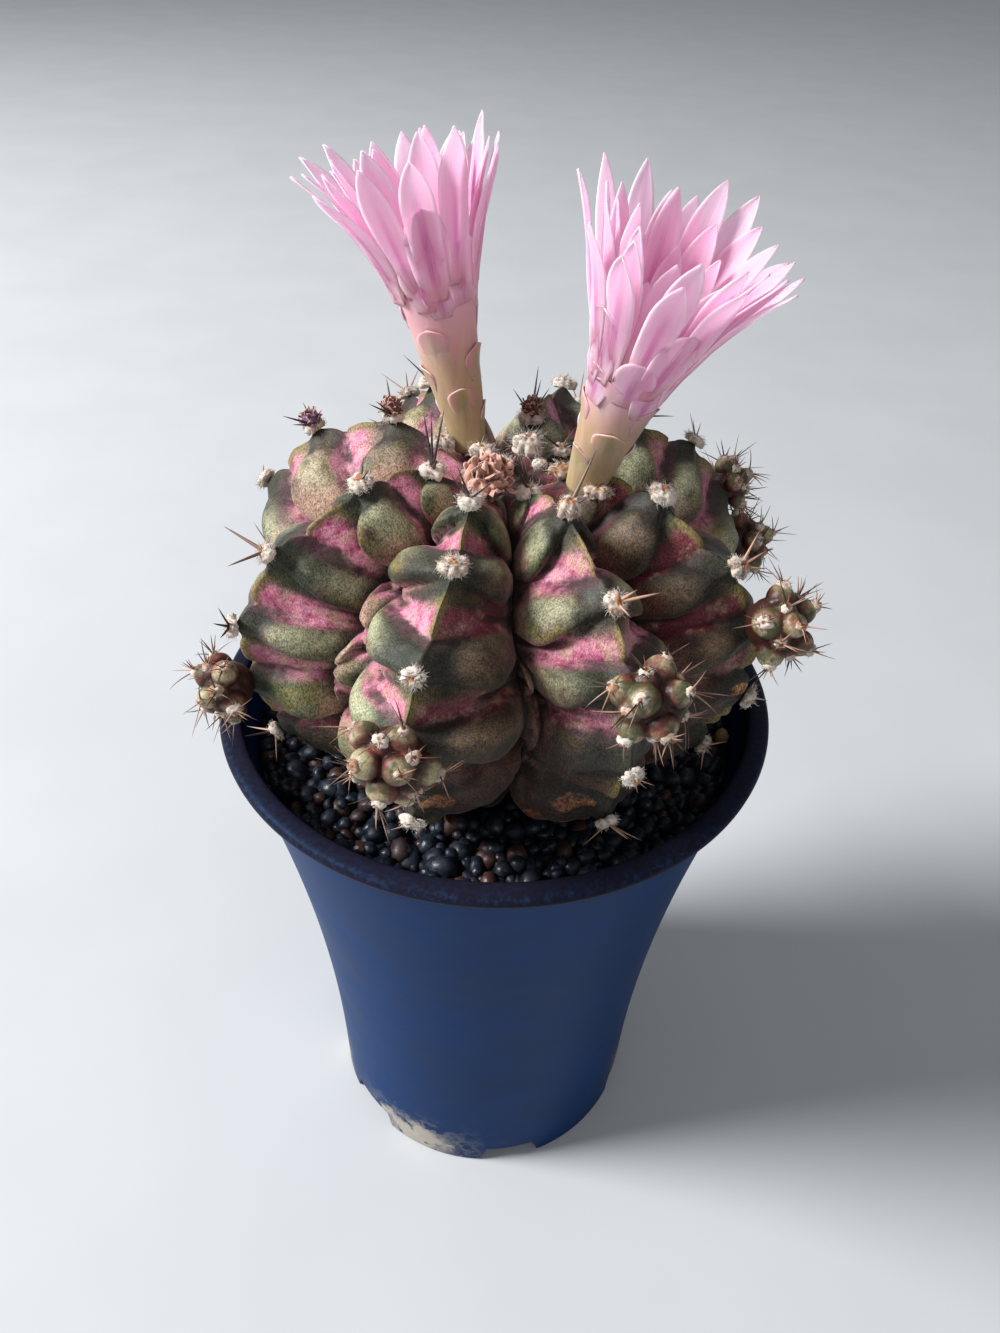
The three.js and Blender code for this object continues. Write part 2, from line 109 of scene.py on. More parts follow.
# Each rib: its azimuth and the polar angles of its areoles, from the crown down
RIBS = [
    (-16, (8, 19, 36, 65, 93, 118)),
    (26, (9, 22, 47, 72, 99, 121)),
    (64, (14, 29, 55, 79, 103, 124)),
    (116, (10, 25, 47, 77, 103, 124)),
    (161, (13, 37, 63, 90, 117)),
    (208, (14, 32, 53, 80, 108)),
    (249, (19, 42, 75, 102, 124)),
    (299, (12, 26, 54, 80, 104, 120)),
]
RIB_AZIMUTH = np.array([rib[0] for rib in RIBS], float)

# Sideways bends of some crests: polar angles and the degrees added to the rib's azimuth there
BENDS = {
    0: ((8, 20, 36, 65, 93), (2, 3, 4.5, 1.8, 0)),
    2: ((20, 40, 60, 90), (0, -2.5, -2, 0)),
    7: ((12, 26, 54, 80, 100), (0, 3, 1.5, 2.5, 0)),
}

# How far, as a share of the distance between areoles, the lobes of each left and right flank turn down
DRIFT = [(-0.22, -0.16), (0.03, -0.05), (0.02, 0), (0, 0), (0, 0), (0, 0), (0, 0.05), (0, 0.06)]

# How much further down the lobes hang that grow from the areoles nearest the crown
CROWN_DRIFT = 0.3

# How far, in degrees, the valley after a rib lies from the middle between the two crests
VALLEY_SHIFT = {7: -4.5, 0: 3.0}

# Loose folds of skin along the valley after a rib: from and to polar angle, height and width share
FOLDS = {
    7: (38, 108, 3.4, 0.2),
    0: (62, 110, 2.4, 0.1),
    1: (84, 112, 2.2, 0.14),
    4: (60, 95, 3.0, 0.16),
}

# How deep the dark red of the hollows is on the left and the right flank of each rib: partly the skin's own
# red, partly painted shade on the flanks turned from the key light
WINE_AND_SHADE = [(0, 0.75), (0.4, 0.1), (0.95, 0.9), (0.5, 0.3), (0.2, 0.5), (0.4, 0.3), (0.1, 0.25), (0.15, 0.1)]

# How dark the painted shade is on the left and the right flank of each rib, strongest on the flanks turned
# from the key light, and how brown they turn towards the soil, which adds painted shade there too
PAINTED_SHADE = [(0, 0.95), (0.4, 0.5), (0.95, 1), (0.4, 0.3), (0.2, 0.2), (0.2, 0.3), (0.1, 0.2), (0.1, 0.12)]
BROWNING_AND_SHADE = [(0.2, 0.75), (0.9, 0.8), (0.95, 0.8), (0.7, 0.6), (0.6, 0.6), (0.6, 0.6), (0.4, 0.2), (0.1, 0.05)]

# Ribs whose pale lobes are rosy, and ribs whose painted shade reaches up to the crown
ROSY_RIBS = (5, 6)
PAINTED_SHADE_RIBS = (1, 2)

# Corky patches: azimuth and polar angle of the middle, half width and half height, all in degrees
CORK = [
    (19, 117, 6, 2.6),
    (-11, 113, 4.5, 2.4),
    (62, 100, 2.5, 2),
    (45, 116, 5, 6),
    (-70, 119, 6, 3),
    (150, 116, 7, 3),
]

# Spines of the areoles in front: each one's clock hand seen from outside, its lean from straight out and
# its length in millimetres, then their thickness and how far they have turned from black to tan
SPINES = {
    (0, 1): ([(300, 60, 4.8), (316, 48, 5), (112, 40, 6.8), (188, 28, 6.5)], 0.24, 0.25),
    (0, 2): ([(316, 48, 2.8)], 0.14, 0.7),
    (0, 3): ([(252, 48, 2.8), (284, 40, 2.5), (224, 48, 3), (200, 60, 3.4)], 0.13, 0.8),
    (1, 0): ([(4, 52, 6.5), (344, 52, 5.5), (12, 48, 5.5), (244, 32, 7.5)], 0.26, 0.0),
    (1, 1): ([(52, 48, 8.5), (120, 44, 3.2)], 0.36, 0.3),
    (1, 2): ([(104, 52, 6.2), (80, 44, 3.6), (180, 52, 4)], 0.38, 0.95),
    (1, 4): ([(100, 52, 3.5), (130, 48, 3), (170, 60, 3)], 0.16, 0.8),
    (2, 1): ([(60, 66, 3.4), (84, 64, 3)], 0.2, 0.0),
    (2, 2): ([(100, 48, 5), (60, 52, 6.5), (140, 60, 4.5)], 0.26, 0.85),
    (2, 4): ([(120, 60, 6.2), (140, 64, 5)], 0.2, 0.7),
    (3, 2): ([(124, 64, 6), (340, 66, 6), (20, 52, 5)], 0.16, 0.5),
    (4, 0): ([(168, 36, 8.5), (116, 56, 5.8), (196, 52, 6.2), (176, 44, 7)], 0.24, 0.0),
    (4, 1): ([(172, 64, 5), (148, 68, 4)], 0.18, 0.5),
    (6, 0): ([(240, 56, 7), (96, 52, 6.8), (40, 52, 8.5), (76, 52, 8.5)], 0.26, 0.0),
    (6, 1): ([(92, 52, 7), (80, 68, 6.5), (232, 56, 6.8)], 0.24, 0.0),
    (6, 2): ([(228, 60, 6), (208, 68, 6), (252, 56, 6)], 0.2, 0.3),
    (7, 0): ([(288, 34, 8.5), (304, 28, 8), (100, 48, 6), (330, 30, 9)], 0.34, 0.0),
    (7, 1): ([(320, 52, 4), (60, 44, 4)], 0.22, 0.0),
    (7, 2): ([(256, 56, 7.6), (148, 44, 6.8)], 0.3, 0.45),
    (7, 3): ([(28, 60, 7), (48, 48, 6.5), (76, 56, 5.5)], 0.24, 0.15),
}

# The rib and areole whose wool has grown into a taller, browner tuft
AGED_AREOLE = (1, 1)

# Points along a fibre of wool and along a spine
FIBRE_STEPS = 3
SPINE_STEPS = 7

# Tufts on the crown: the middle, half width, half depth, rise, age and how long the fibres are
CROWN_TUFTS = [
    ((3.4, 3.2, 150.2), 1.9, 1.7, 2.0, 0.0, 2.2),
    ((5.2, -1.2, 149.6), 1.0, 0.9, 0.9, -0.3, 1.0),
    ((-0.4, 0.2, 148.9), 1.6, 1.3, 1.0, 0.1, 1.2),
    ((-3.2, 3.2, 149.0), 1.8, 1.4, 1.2, 0.1, 1.2),
    ((-9.2, 4.4, 149.6), 1.7, 1.4, 1.2, 0.2, 1.0),
    ((8.2, -3.4, 150.0), 1.7, 1.3, 1.1, 0.5, 1.2),
    ((13.0, -9.4, 150.2), 1.8, 1.3, 1.1, 0.4, 1.0),
    ((-4.4, -4.6, 149.2), 1.6, 1.4, 1.3, 0.7, 1.0),
]

# Fibres on each tuft of the crown and of an offset
CROWN_FIBRES = 240
OFFSET_FIBRES = 40

# Seeds of the random draws
AREOLE_SEED = 12
GRIT_SEED = 5
CROWN_SEED = 31
GROWTH_SEED = 9
STAMEN_SEED = 80
OFFSET_SEED = 40
FLOWER_SEED = 70

# Offsets: the rib and areole that each grows from, its core's radius, how far its axis turns upwards and
# how far its middle is moved
OFFSETS = [
    ("offset_front_left", 0, 4, 4.1, 12, (0.4, 1.5, 1.5)),
    ("offset_front_right", 1, 3, 3.9, 0, (-0.3, 0, 0)),
    ("offset_right", 2, 3, 4.0, 0, (-1.8, 0.4, 1.0)),
    ("offset_right_upper", 3, 3, 3.1, 0, (-2.3, 0, 0)),
    ("offset_right_lower", 3, 4, 3.7, 18, (1.8, -0.6, 3.0)),
    ("offset_back", 5, 4, 3.8, 10, (0, 0, 0)),
    ("offset_left", 7, 4, 3.7, 10, (0, 0.4, 1.4)),
]

# Flowers: the foot on the crown, how far and towards which azimuth the tube leans, its turn and scale
FLOWERS = [
    ("flower_left", (-5.4, 7.2, 149.2), 13.5, 249, 8, 0.95),
    ("flower_right", (11.6, -6, 150.2), 16, 60, 20, 0.88),
]

# The tube's outer wall, as heights above the foot and radii. For each flower, the height at which the
# funnel ends, how wide the tube is, how far below there the blunt whorls spread, and the petals' length
TUBE_WALL = [(-1.5, 2.5), (2, 3.0), (8, 3.75), (13, 4.35), (18, 5.0), (22, 5.8), (26, 6.6)]
FUNNELS = [(24.0, 1.0, 0.65, 0.9), (21.8, 1.16, 1.0, 1.0)]

# Whorls from the outside in: petals, how far below the funnel's end and outside its wall they root,
# length, width, angles from the axis, blunt
WHORLS = [
    (4, 6.2, 0.1, 6.5, 5.4, (8, 16), True),
    (5, 4.4, 0.1, 9.2, 6.2, (12, 19), True),
    (5, 2.4, 0.15, 13.5, 6.2, (16, 22), True),
    (12, 0.8, 0.05, 23.2, 4.7, (18, 24), False),
    (11, 0.6, -0.5, 23.0, 4.5, (14, 20), False),
    (9, 1.2, -0.85, 21.5, 4.3, (9, 14), False),
    (7, 2.0, -1.3, 17.0, 3.8, (3, 10), False),
]

# How much further, in degrees, the petals open on the side that each flower turns outwards
PETAL_SWAY = 13

# The petals from this whorl on have a cream foot
CREAM_WHORL = 4

# Scales on a tube, the turn in radians from one to the next, and stamens in a flower
SCALES = 11
SCALE_TURN = 2.4
STAMENS = 60

# Buds and last season's dried bloom: the rib and areole, the ball's radius and its middle's rise above it
DRIED_BLOOM = ("dried_bloom", 0, 0, 3.2, 2.6)
BUDS = [("bud_left", 6, 1, 1.5, 1.6), ("bud_left_inner", 6, 0, 1.5, 1.8), ("bud_back", 4, 0, 1.6, 1.8)]

# Lights: name, place and width in metres, and their share of the key light's power
LIGHTS = [("key", (-1.3, -0.12, 1.12), 0.6, 1.0), ("fill", (0.7, -1.3, 1.1), 1.2, 0.08)]
LIGHT_TARGET = (0, 0, 0.12)
SKY_COLOUR = (0.93, 0.96, 1.0, 1)
FLOOR_HALF = 4.0

# The camera's focal length and frame width in millimetres, and how near and far it sees in metres
FOCAL_LENGTH = 27.007
FRAME_WIDTH = 36
CLIP_START = 0.005
CLIP_END = 50


def srgb(code):
    """A six-digit colour code as linear red, green and blue."""
    parts = [int(code[i : i + 2], 16) / 255 for i in (0, 2, 4)]
    return tuple(c / 12.92 if c <= 0.04045 else ((c + 0.055) / 1.055) ** 2.4 for c in parts)


def toned(shade, factor):
    """A colour made lighter or darker by a factor."""
    return [c * factor for c in shade]


def colour(label, code, description):
    """A colour setting."""
    return bpy.props.FloatVectorProperty(
        name=label, description=description, subtype="COLOR", size=3, min=0, max=1, default=srgb(code)
    )


def size(label, millimetres, description):
    """A length setting."""
    return bpy.props.FloatProperty(
        name=label,
        description=description,
        unit="LENGTH",
        subtype="DISTANCE",
        min=0,
        default=millimetres * MM,
    )


def number(label, value, description):
    """A whole number."""
    return bpy.props.IntProperty(name=label, description=description, min=0, default=value)


def angle(label, degrees, description):
    """An angle."""
    return bpy.props.FloatProperty(
        name=label, description=description, subtype="ANGLE", default=math.radians(degrees)
    )


def amount(label, value, description):
    """A share from 0 to 1."""
    return bpy.props.FloatProperty(
        name=label, description=description, subtype="FACTOR", min=0, max=1, default=value
    )


class PotSettings(bpy.types.PropertyGroup):
    """The moulded pot."""

    height: size("Height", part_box("pot")[1].z / MM, "Height of the lip over the ground")
    rim_radius: size("Rim radius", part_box("pot")[1].x / MM, "Outer radius of the lip")
    wall: size("Wall", 1.3, "Thickness of the wall")
    plastic: colour("Plastic", "072a55", "Colour of the plastic")
    # A painted dark reflection on the lip's upper face
    rim: colour("Rim", "1d1a25", "Upper face of the lip")
    scuffed: colour("Scuffed", "47505c", "Where the plastic is rubbed")
    mineral: colour("Mineral", "b9b1a3", "Dried water marks near the foot")
    wear: amount("Wear", 0.22, "How much of the lip is rubbed")


class GritSettings(bpy.types.PropertyGroup):
    """The grit on the soil."""

    grain: size("Grain", 3.1, "Width of a usual grain")
    count: number("Grains", 1250, "Number of loose grains")
    stone: colour("Stone", "0f151f", "Colour of the grit")
    rusty: colour("Rusty", "3a2420", "Colour of a few grains")
    tan: colour("Tan", "c39a6a", "Colour of the one light grain")


class BodySettings(bpy.types.PropertyGroup):
    """The skin of the cactus."""

    dark: colour("Dark green", "121a14", "Bands beside the areoles")
    green: colour("Green", "444f2a", "Middle of a lobe")
    pale: colour("Pale green", "96987c", "Swollen top of a lobe")
    rose: colour("Rose", "b08a7e", "Ends of the lobes")
    pink: colour("Pink", "d18ca3", "Hollows between the lobes")
    magenta: colour("Magenta", "aa4070", "Patches in the hollows")
    # Partly the hollows' own red, partly painted shade on the flanks turned from the light
    wine_and_shade: colour("Wine red", "66122a", "Shaded side of the hollows")
    olive: colour("Olive", "6e6230", "The thin crest between areoles")
    brown: colour("Brown", "4a3329", "Lower flanks")
    # Painted shade in the hollows of the relief and along the valleys
    crease: colour("Crease", "190d0e", "Bottom of the creases")
    cork: colour("Cork", "b9895a", "Corky patches near the soil")
    hairs: colour("Hairs", "d8ccb0", "Short hairs on the skin")


class WoolSettings(bpy.types.PropertyGroup):
    """Areoles and their spines."""

    pad: size("Pad", 3.4, "Width of a usual areole")
    fibres: number("Fibres", 210, "Loose fibres on an areole")
    white: colour("White", "d9cdc1", "Fresh wool")
    aged: colour("Aged", "a8795a", "Old wool")
    spine_dark: colour("Dark spine", "1c1012", "Young spines")
    spine_tan: colour("Tan spine", "b58d76", "Grown spines")
    spine: size("Spine", 7.5, "Length of a usual spine")


class OffsetSettings(bpy.types.PropertyGroup):
    """The small plants that grow on the ribs."""

    pale: colour("Pale", "b5a884", "Tops of the tubercles")
    green: colour("Green", "4a5233", "Patches on the tubercles")
    red: colour("Red", "8a3f3c", "Blushes on the tubercles")
    brown: colour("Brown", "5e3226", "Feet of the tubercles")


class FlowerSettings(bpy.types.PropertyGroup):
    """The two flowers, the buds and the dried bloom."""

    petal: colour("Petal", "efacd1", "Blade of a petal")
    stripe: colour("Stripe", "cb549c", "Middle stripe of a petal")
    edge: colour("Edge", "f8d6e8", "Edge of a petal")
    tube: colour("Tube", "c6a486", "Skin of the tube")
    tube_green: colour("Tube green", "9c9764", "Middle of the tube's scales")
    anther: colour("Anther", "ecd58a", "Stamens and stigma")
    throat: colour("Throat", "f1e6c8", "Feet of the inner petals")
    dried: colour("Dried", "b98a78", "The dried bloom")
    petal_thickness: size("Petal thickness", 0.17, "Thickness of a petal")


class StageSettings(bpy.types.PropertyGroup):
    """Floor, light and camera."""

    floor: colour("Floor", "c3c6c9", "Colour of the floor")
    key: bpy.props.FloatProperty(
        name="Key light", description="Power of the large light", unit="POWER", default=50.0
    )
    sky: amount("Sky", 0.27, "Strength of the even light all round")
    camera_side: size("Camera side", 0.624, "Distance of the camera to the right of the axis")
    camera_height: size("Camera height", 218.519, "Height of the camera")
    camera_distance: size("Camera distance", 129.515, "Distance of the camera in front of the axis")
    tilt: angle("Tilt", 39.697, "How far the camera looks down")
    roll: angle("Roll", 2.168, "Turn of the camera about its view")


SETTINGS = {
    "cactus_pot": PotSettings,
    "cactus_grit": GritSettings,
    "cactus_body": BodySettings,
    "cactus_wool": WoolSettings,
    "cactus_offset": OffsetSettings,
    "cactus_flower": FlowerSettings,
    "cactus_stage": StageSettings,
}


def ramp(low, high, x):
    """0 below low, 1 above high, and a smooth S between them."""
    s = np.clip((x - low) / (high - low), 0, 1)
    return s * s * (3 - 2 * s)


def lerp(a, b, t):
    """The value at share t of the way from a to b."""
    return a + (b - a) * t


def bell(x, width):
    """1 where x is 0, falling smoothly to 0 on both sides over about twice the width."""
    return np.exp(-((x / width) ** 2))


def circle(count):
    """Even angles round a full turn, in radians."""
    return np.linspace(0, 2 * np.pi, count, endpoint=False)


def around_axis(radius, turn, height):
    """Points round the Z axis, each with its radius, its angle from +X and its height."""
    return np.stack(np.broadcast_arrays(radius * np.cos(turn), radius * np.sin(turn), height), -1)


def at_azimuth(radius, turn, height):
    """Points round the Z axis whose angles count from -Y towards +X."""
    return np.stack(np.broadcast_arrays(radius * np.sin(turn), -radius * np.cos(turn), height), -1)


def unit(vectors):
    """Vectors along the last axis, each made 1 long."""
    return vectors / np.linalg.norm(vectors, axis=-1, keepdims=True)


def soft_max(a, b, softness):
    """The larger of two values, rounded over where they are nearly equal."""
    return (a + b + np.sqrt((a - b) ** 2 + softness**2)) / 2


def hashed(*numbers):
    """A repeatable value from 0 to 1 for each combination of whole numbers."""
    mixed = np.int64(374761393)
    for number in numbers:
        number = (np.asarray(number).astype(np.int64) + 7919) & np.int64(0x7FFFFFFF)
        mixed = ((mixed ^ number) * np.int64(1103515245) + np.int64(12345)) & np.int64(0x7FFFFFFF)
        mixed = mixed ^ (mixed >> np.int64(15))
    return ((mixed * np.int64(668265263) >> np.int64(13)) & np.int64(0xFFFF)) / 65535.0


def noise(points, spacing, seed=0):
    """Smooth noise from -1 to 1: values hashed on a cubic lattice, blended between its corners by S
    curves."""
    scaled = np.asarray(points, float) / spacing
    cell = np.floor(scaled).astype(np.int64)
    part = scaled - cell
    part = part * part * (3 - 2 * part)
    total = np.zeros(scaled.shape[:-1])
    for corner in range(8):
        step = np.array([corner & 1, corner >> 1 & 1, corner >> 2 & 1])
        weight = np.prod(np.where(step == 1, part, 1 - part), axis=-1)
        total += weight * hashed(*np.moveaxis(cell + step, -1, 0), seed)
    return 2 * total - 1


def steady_random(seed):
    """The solids' small repeatable random source, as a function that draws between two ends."""
    state = [seed]

    def draw(low=0.0, high=1.0):
        state[0] = (state[0] * 1664525 + 1013904223) & 0xFFFFFFFF
        return low + (high - low) * state[0] / 4294967296

    return draw


def grid_faces(rows, columns, around=True, start=0):
    """Quads of a grid of points whose rows run from top to bottom and whose columns run anticlockwise."""
    row = np.arange(rows - 1)[:, None] * columns
    column = np.arange(columns if around else columns - 1)[None, :]
    beside = (column + 1) % columns
    corners = [row + column, row + columns + column, row + columns + beside, row + beside]
    return np.stack(corners, -1).reshape(-1, 4) + start


def fan_faces(centre, ring, upwards):
    """Triangles from a centre point to a closed ring of points."""
    after = np.roll(ring, -1)
    pair = (ring, after) if upwards else (after, ring)
    return np.stack([np.full(len(ring), centre), *pair], -1)


class Heap:
    """Gathers parts that share attributes, to make one mesh of them."""

    def __init__(self):
        self.points = []
        self.faces = []
        self.values = {}
        self.total = 0

    def add(self, points, faces, **values):
        """Adds points, a list of arrays of quads or triangles, and a value or array for each attribute."""
        points = np.asarray(points, float).reshape(-1, 3)
        self.points.append(points)
        self.faces += [part + self.total for part in faces]
        for name, value in values.items():
            full = np.broadcast_to(np.asarray(value, float).reshape(-1), (len(points),))
            self.values.setdefault(name, []).append(full)
        self.total += len(points)

    def lathe(self, points, **values):
        """Adds a closed form: rings of points from top to bottom, closed at both ends by a middle point."""
        rows, columns = points.shape[:2]
        middles = points[[0, -1]].mean(axis=1)
        every = np.concatenate([points.reshape(-1, 3), middles])
        ring = np.arange(columns)
        faces = [
            grid_faces(rows, columns),
            fan_faces(rows * columns, ring, True),
            fan_faces(rows * columns + 1, ring + (rows - 1) * columns, False),
        ]
        full = {}
        for name, value in values.items():
            value = np.broadcast_to(value, (rows, columns)) if np.ndim(value) != 1 else value
            if np.ndim(value) == 2:
                value = np.concatenate([value.ravel(), [value[0].mean(), value[-1].mean()]])
            full[name] = value
        self.add(every, faces, **full)

    def sheet(self, points, **values):
        """Adds an open sheet of rows and columns of points."""
        rows, columns = points.shape[:2]
        full = {name: np.broadcast_to(value, (rows, columns)).ravel() for name, value in values.items()}
        self.add(points, [grid_faces(rows, columns, around=False)], **full)

    def tubes(self, paths, radii, sides, **values):
        """Adds round tubes along many paths at once: a ring of points stands square to each path at the
        radius there, and both ends close in a fan. Each value has one number for each step or path."""
        count, steps, _ = paths.shape
        along = unit(np.gradient(paths, axis=1))
        steep = np.abs(along[:, :1, 2:3]) > 0.9
        helper = np.where(steep, np.array([1.0, 0, 0]), np.array([0, 0, 1.0]))
        aside = unit(np.cross(along, helper))
        other = np.cross(along, aside)
        turn = circle(sides)
        ring = aside[:, :, None] * np.cos(turn)[:, None] + other[:, :, None] * np.sin(turn)[:, None]
        points = paths[:, :, None] + ring * np.broadcast_to(radii, (count, steps))[:, :, None, None]
        every = np.concatenate([points.reshape(count, -1, 3), paths[:, :1], paths[:, -1:]], axis=1)
        around = np.arange(sides)
        first = grid_faces(steps, sides)[:, ::-1]
        start = fan_faces(steps * sides, around, False)
        end = fan_faces(steps * sides + 1, around + (steps - 1) * sides, True)
        caps = np.concatenate([start, end])
        shift = (np.arange(count) * (steps * sides + 2))[:, None, None]
        faces = [(first[None] + shift).reshape(-1, 4), (caps[None] + shift).reshape(-1, 3)]
        full = {}
        for name, value in values.items():
            value = np.asarray(value, float)
            value = np.broadcast_to(value[:, None] if value.ndim == 1 else value, (count, steps))
            ends = np.stack([value[:, 0], value[:, -1]], 1)
            full[name] = np.concatenate([np.repeat(value, sides, axis=1), ends], axis=1).ravel()
        self.add(every.reshape(-1, 3), faces, **full)

    def piece(self, name, material, slot=None, replaces=()):
        """Makes the mesh, in metres, gives it its material and sets what it rides on and stands for. The
        slot is not used.
        """
        mesh = bpy.data.meshes.new(name)
        points = np.concatenate(self.points) * MM
        loops = np.concatenate([part.ravel() for part in self.faces])
        sizes = np.concatenate([np.full(len(part), part.shape[1]) for part in self.faces])
        mesh.vertices.add(len(points))
        mesh.vertices.foreach_set("co", points.astype(np.float32).ravel())
        mesh.loops.add(len(loops))
        mesh.loops.foreach_set("vertex_index", loops.astype(np.int32))
        mesh.polygons.add(len(sizes))
        mesh.polygons.foreach_set("loop_start", (np.cumsum(sizes) - sizes).astype(np.int32))
        mesh.update(calc_edges=True)
        mesh.polygons.foreach_set("use_smooth", np.full(len(sizes), True))
        for label, parts in self.values.items():
            layer = mesh.attributes.new(label, "FLOAT", "POINT")
            layer.data.foreach_set("value", np.concatenate(parts).astype(np.float32))
        mesh.validate()
        made = bpy.data.objects.new(name, mesh)
        bpy.context.scene.collection.objects.link(made)
        made.data.materials.append(material)
        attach(made, "root")
        if replaces:
            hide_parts(*replaces)
        return made


class Nodes:
    """Short calls that add nodes to a material or a node group."""

    def __init__(self, tree):
        self.tree = tree

    def add(self, kind, values=None, output=0, **options):
        """Adds a node, sets its options, and sets or links its inputs. Gives the output socket."""
        node = self.tree.nodes.new(kind)
        for name, value in options.items():
            setattr(node, name, value)
        for key, value in (values or {}).items():
            self.feed(node.inputs[key], value)
        return node.outputs[output]

    def feed(self, socket, value):
        """Links a socket to another, or sets it to a value."""
        if isinstance(value, bpy.types.NodeSocket):
            self.tree.links.new(value, socket)
            return
        if socket.type == "RGBA" and len(value) == 3:
            value = (*value, 1)
        socket.default_value = value

    def place(self):
        """The point on the piece, in metres."""
        return self.add("ShaderNodeTexCoord", output="Object")

    def value(self, name):
        """A number kept in the mesh."""
        return self.add("ShaderNodeAttribute", output="Fac", attribute_name=name)

    def math(self, operation, a, b=0.0, clamp=False):
        """One sum on two numbers."""
        return self.add("ShaderNodeMath", {0: a, 1: b}, operation=operation, use_clamp=clamp)

    def plus(self, a, b, clamp=False):
        """The sum of two numbers."""
        return self.math("ADD", a, b, clamp)

    def minus(self, a, b):
        """The first number less the second."""
        return self.math("SUBTRACT", a, b)

    def times(self, a, b, clamp=False):
        """The product of two numbers."""
        return self.math("MULTIPLY", a, b, clamp)

    def swayed(self, value, wander, amount):
        """A number moved up and down by noise around its middle."""
        return self.plus(value, self.times(self.minus(wander, 0.5), amount))

    def stretched(self, x, y, z, point=None):
        """The point on the piece, scaled along each axis, which draws noise out."""
        values = {0: point or self.place(), 1: (x, y, z)}
        return self.add("ShaderNodeVectorMath", values, operation="MULTIPLY")

    def between(self, value, low, high, first=0.0, last=1.0):
        """A smooth step of a value, from first at low to last at high."""
        inputs = {"Value": value, "From Min": low, "From Max": high, "To Min": first, "To Max": last}
        return self.add("ShaderNodeMapRange", inputs, interpolation_type="SMOOTHSTEP")

    def noise(self, width, detail=2.0, roughness=0.5, vector=None):
        """Noise whose lumps are about so many millimetres wide."""
        inputs = {
            "Vector": vector or self.place(),
            "Scale": 1 / (width * MM),
            "Detail": detail,
            "Roughness": roughness,
        }
        return self.add("ShaderNodeTexNoise", inputs)

    def mix(self, share, a, b, blend="MIX"):
        """Two colours mixed."""
        node = self.tree.nodes.new("ShaderNodeMix")
        node.data_type = "RGBA"
        node.blend_type = blend
        self.feed(node.inputs["Factor"], share)
        self.feed(node.inputs[6], a)
        self.feed(node.inputs[7], b)
        return node.outputs[2]

    def group(self, tree, values):
        """The outputs of a shared node group that has its own values."""
        node = self.tree.nodes.new("ShaderNodeGroup")
        node.node_tree = tree
        for key, value in values.items():
            self.feed(node.inputs[key], value)
        return node.outputs

    def bump(self, height, strength, distance, normal=None):
        """A bump of so many millimetres."""
        values = {"Height": height, "Strength": strength, "Distance": distance * MM}
        if normal:
            values["Normal"] = normal
        return self.add("ShaderNodeBump", values)


def new_group(name, inputs, outputs):
    """An empty shader node group with named sockets: inputs give each one's kind and default."""
    tree = bpy.data.node_groups.new(name, "ShaderNodeTree")
    for label, (kind, default) in inputs.items():
        socket = tree.interface.new_socket(label, in_out="INPUT", socket_type="NodeSocket" + kind)
        if default is not None:
            socket.default_value = default
    for label, kind in outputs.items():
        tree.interface.new_socket(label, in_out="OUTPUT", socket_type="NodeSocket" + kind)
    nodes = Nodes(tree)
    entry = tree.nodes.new("NodeGroupInput")
    leave = tree.nodes.new("NodeGroupOutput")
    return tree, nodes, entry.outputs, leave.inputs


def new_material(name, **constants):
    """A material with one Principled shader, whose constants are given by their socket names."""
    material = bpy.data.materials.new(name)
    material.use_nodes = True
    nodes = Nodes(material.node_tree)
    shader = material.node_tree.nodes["Principled BSDF"]
    for label, value in constants.items():
        nodes.feed(shader.inputs[label.replace("_", " ")], value)
    return material, nodes, shader.inputs


def fleck_group():
    """Short light hairs on a darker skin: drawn-out noise in two sizes, thresholded, and its height."""
    if "skin_flecks" in bpy.data.node_groups:
        return bpy.data.node_groups["skin_flecks"]
    inputs = {"Width": ("Float", 0.3), "Vector": ("Vector", None)}
    tree, nodes, entry, leave = new_group("skin_flecks", inputs, {"Flecks": "Float", "Height": "Float"})
    scale = nodes.math("DIVIDE", 1 / MM, entry["Width"])
    drawn = nodes.stretched(1.0, 1.0, 0.5, entry["Vector"])
    fine = nodes.add(
        "ShaderNodeTexNoise",
        {"Vector": drawn, "Scale": scale, "Detail": 2.0, "Roughness": 0.7, "Distortion": 0.6},
    )
    coarse = nodes.add(
        "ShaderNodeTexNoise",
        {"Vector": entry["Vector"], "Scale": nodes.times(scale, 0.3), "Detail": 2.0, "Roughness": 0.6},
    )
    both = nodes.plus(nodes.times(fine, 0.82), nodes.times(coarse, 0.18))
    nodes.feed(leave["Flecks"], nodes.between(both, 0.38, 0.62))
    nodes.feed(leave["Height"], both)
    return tree


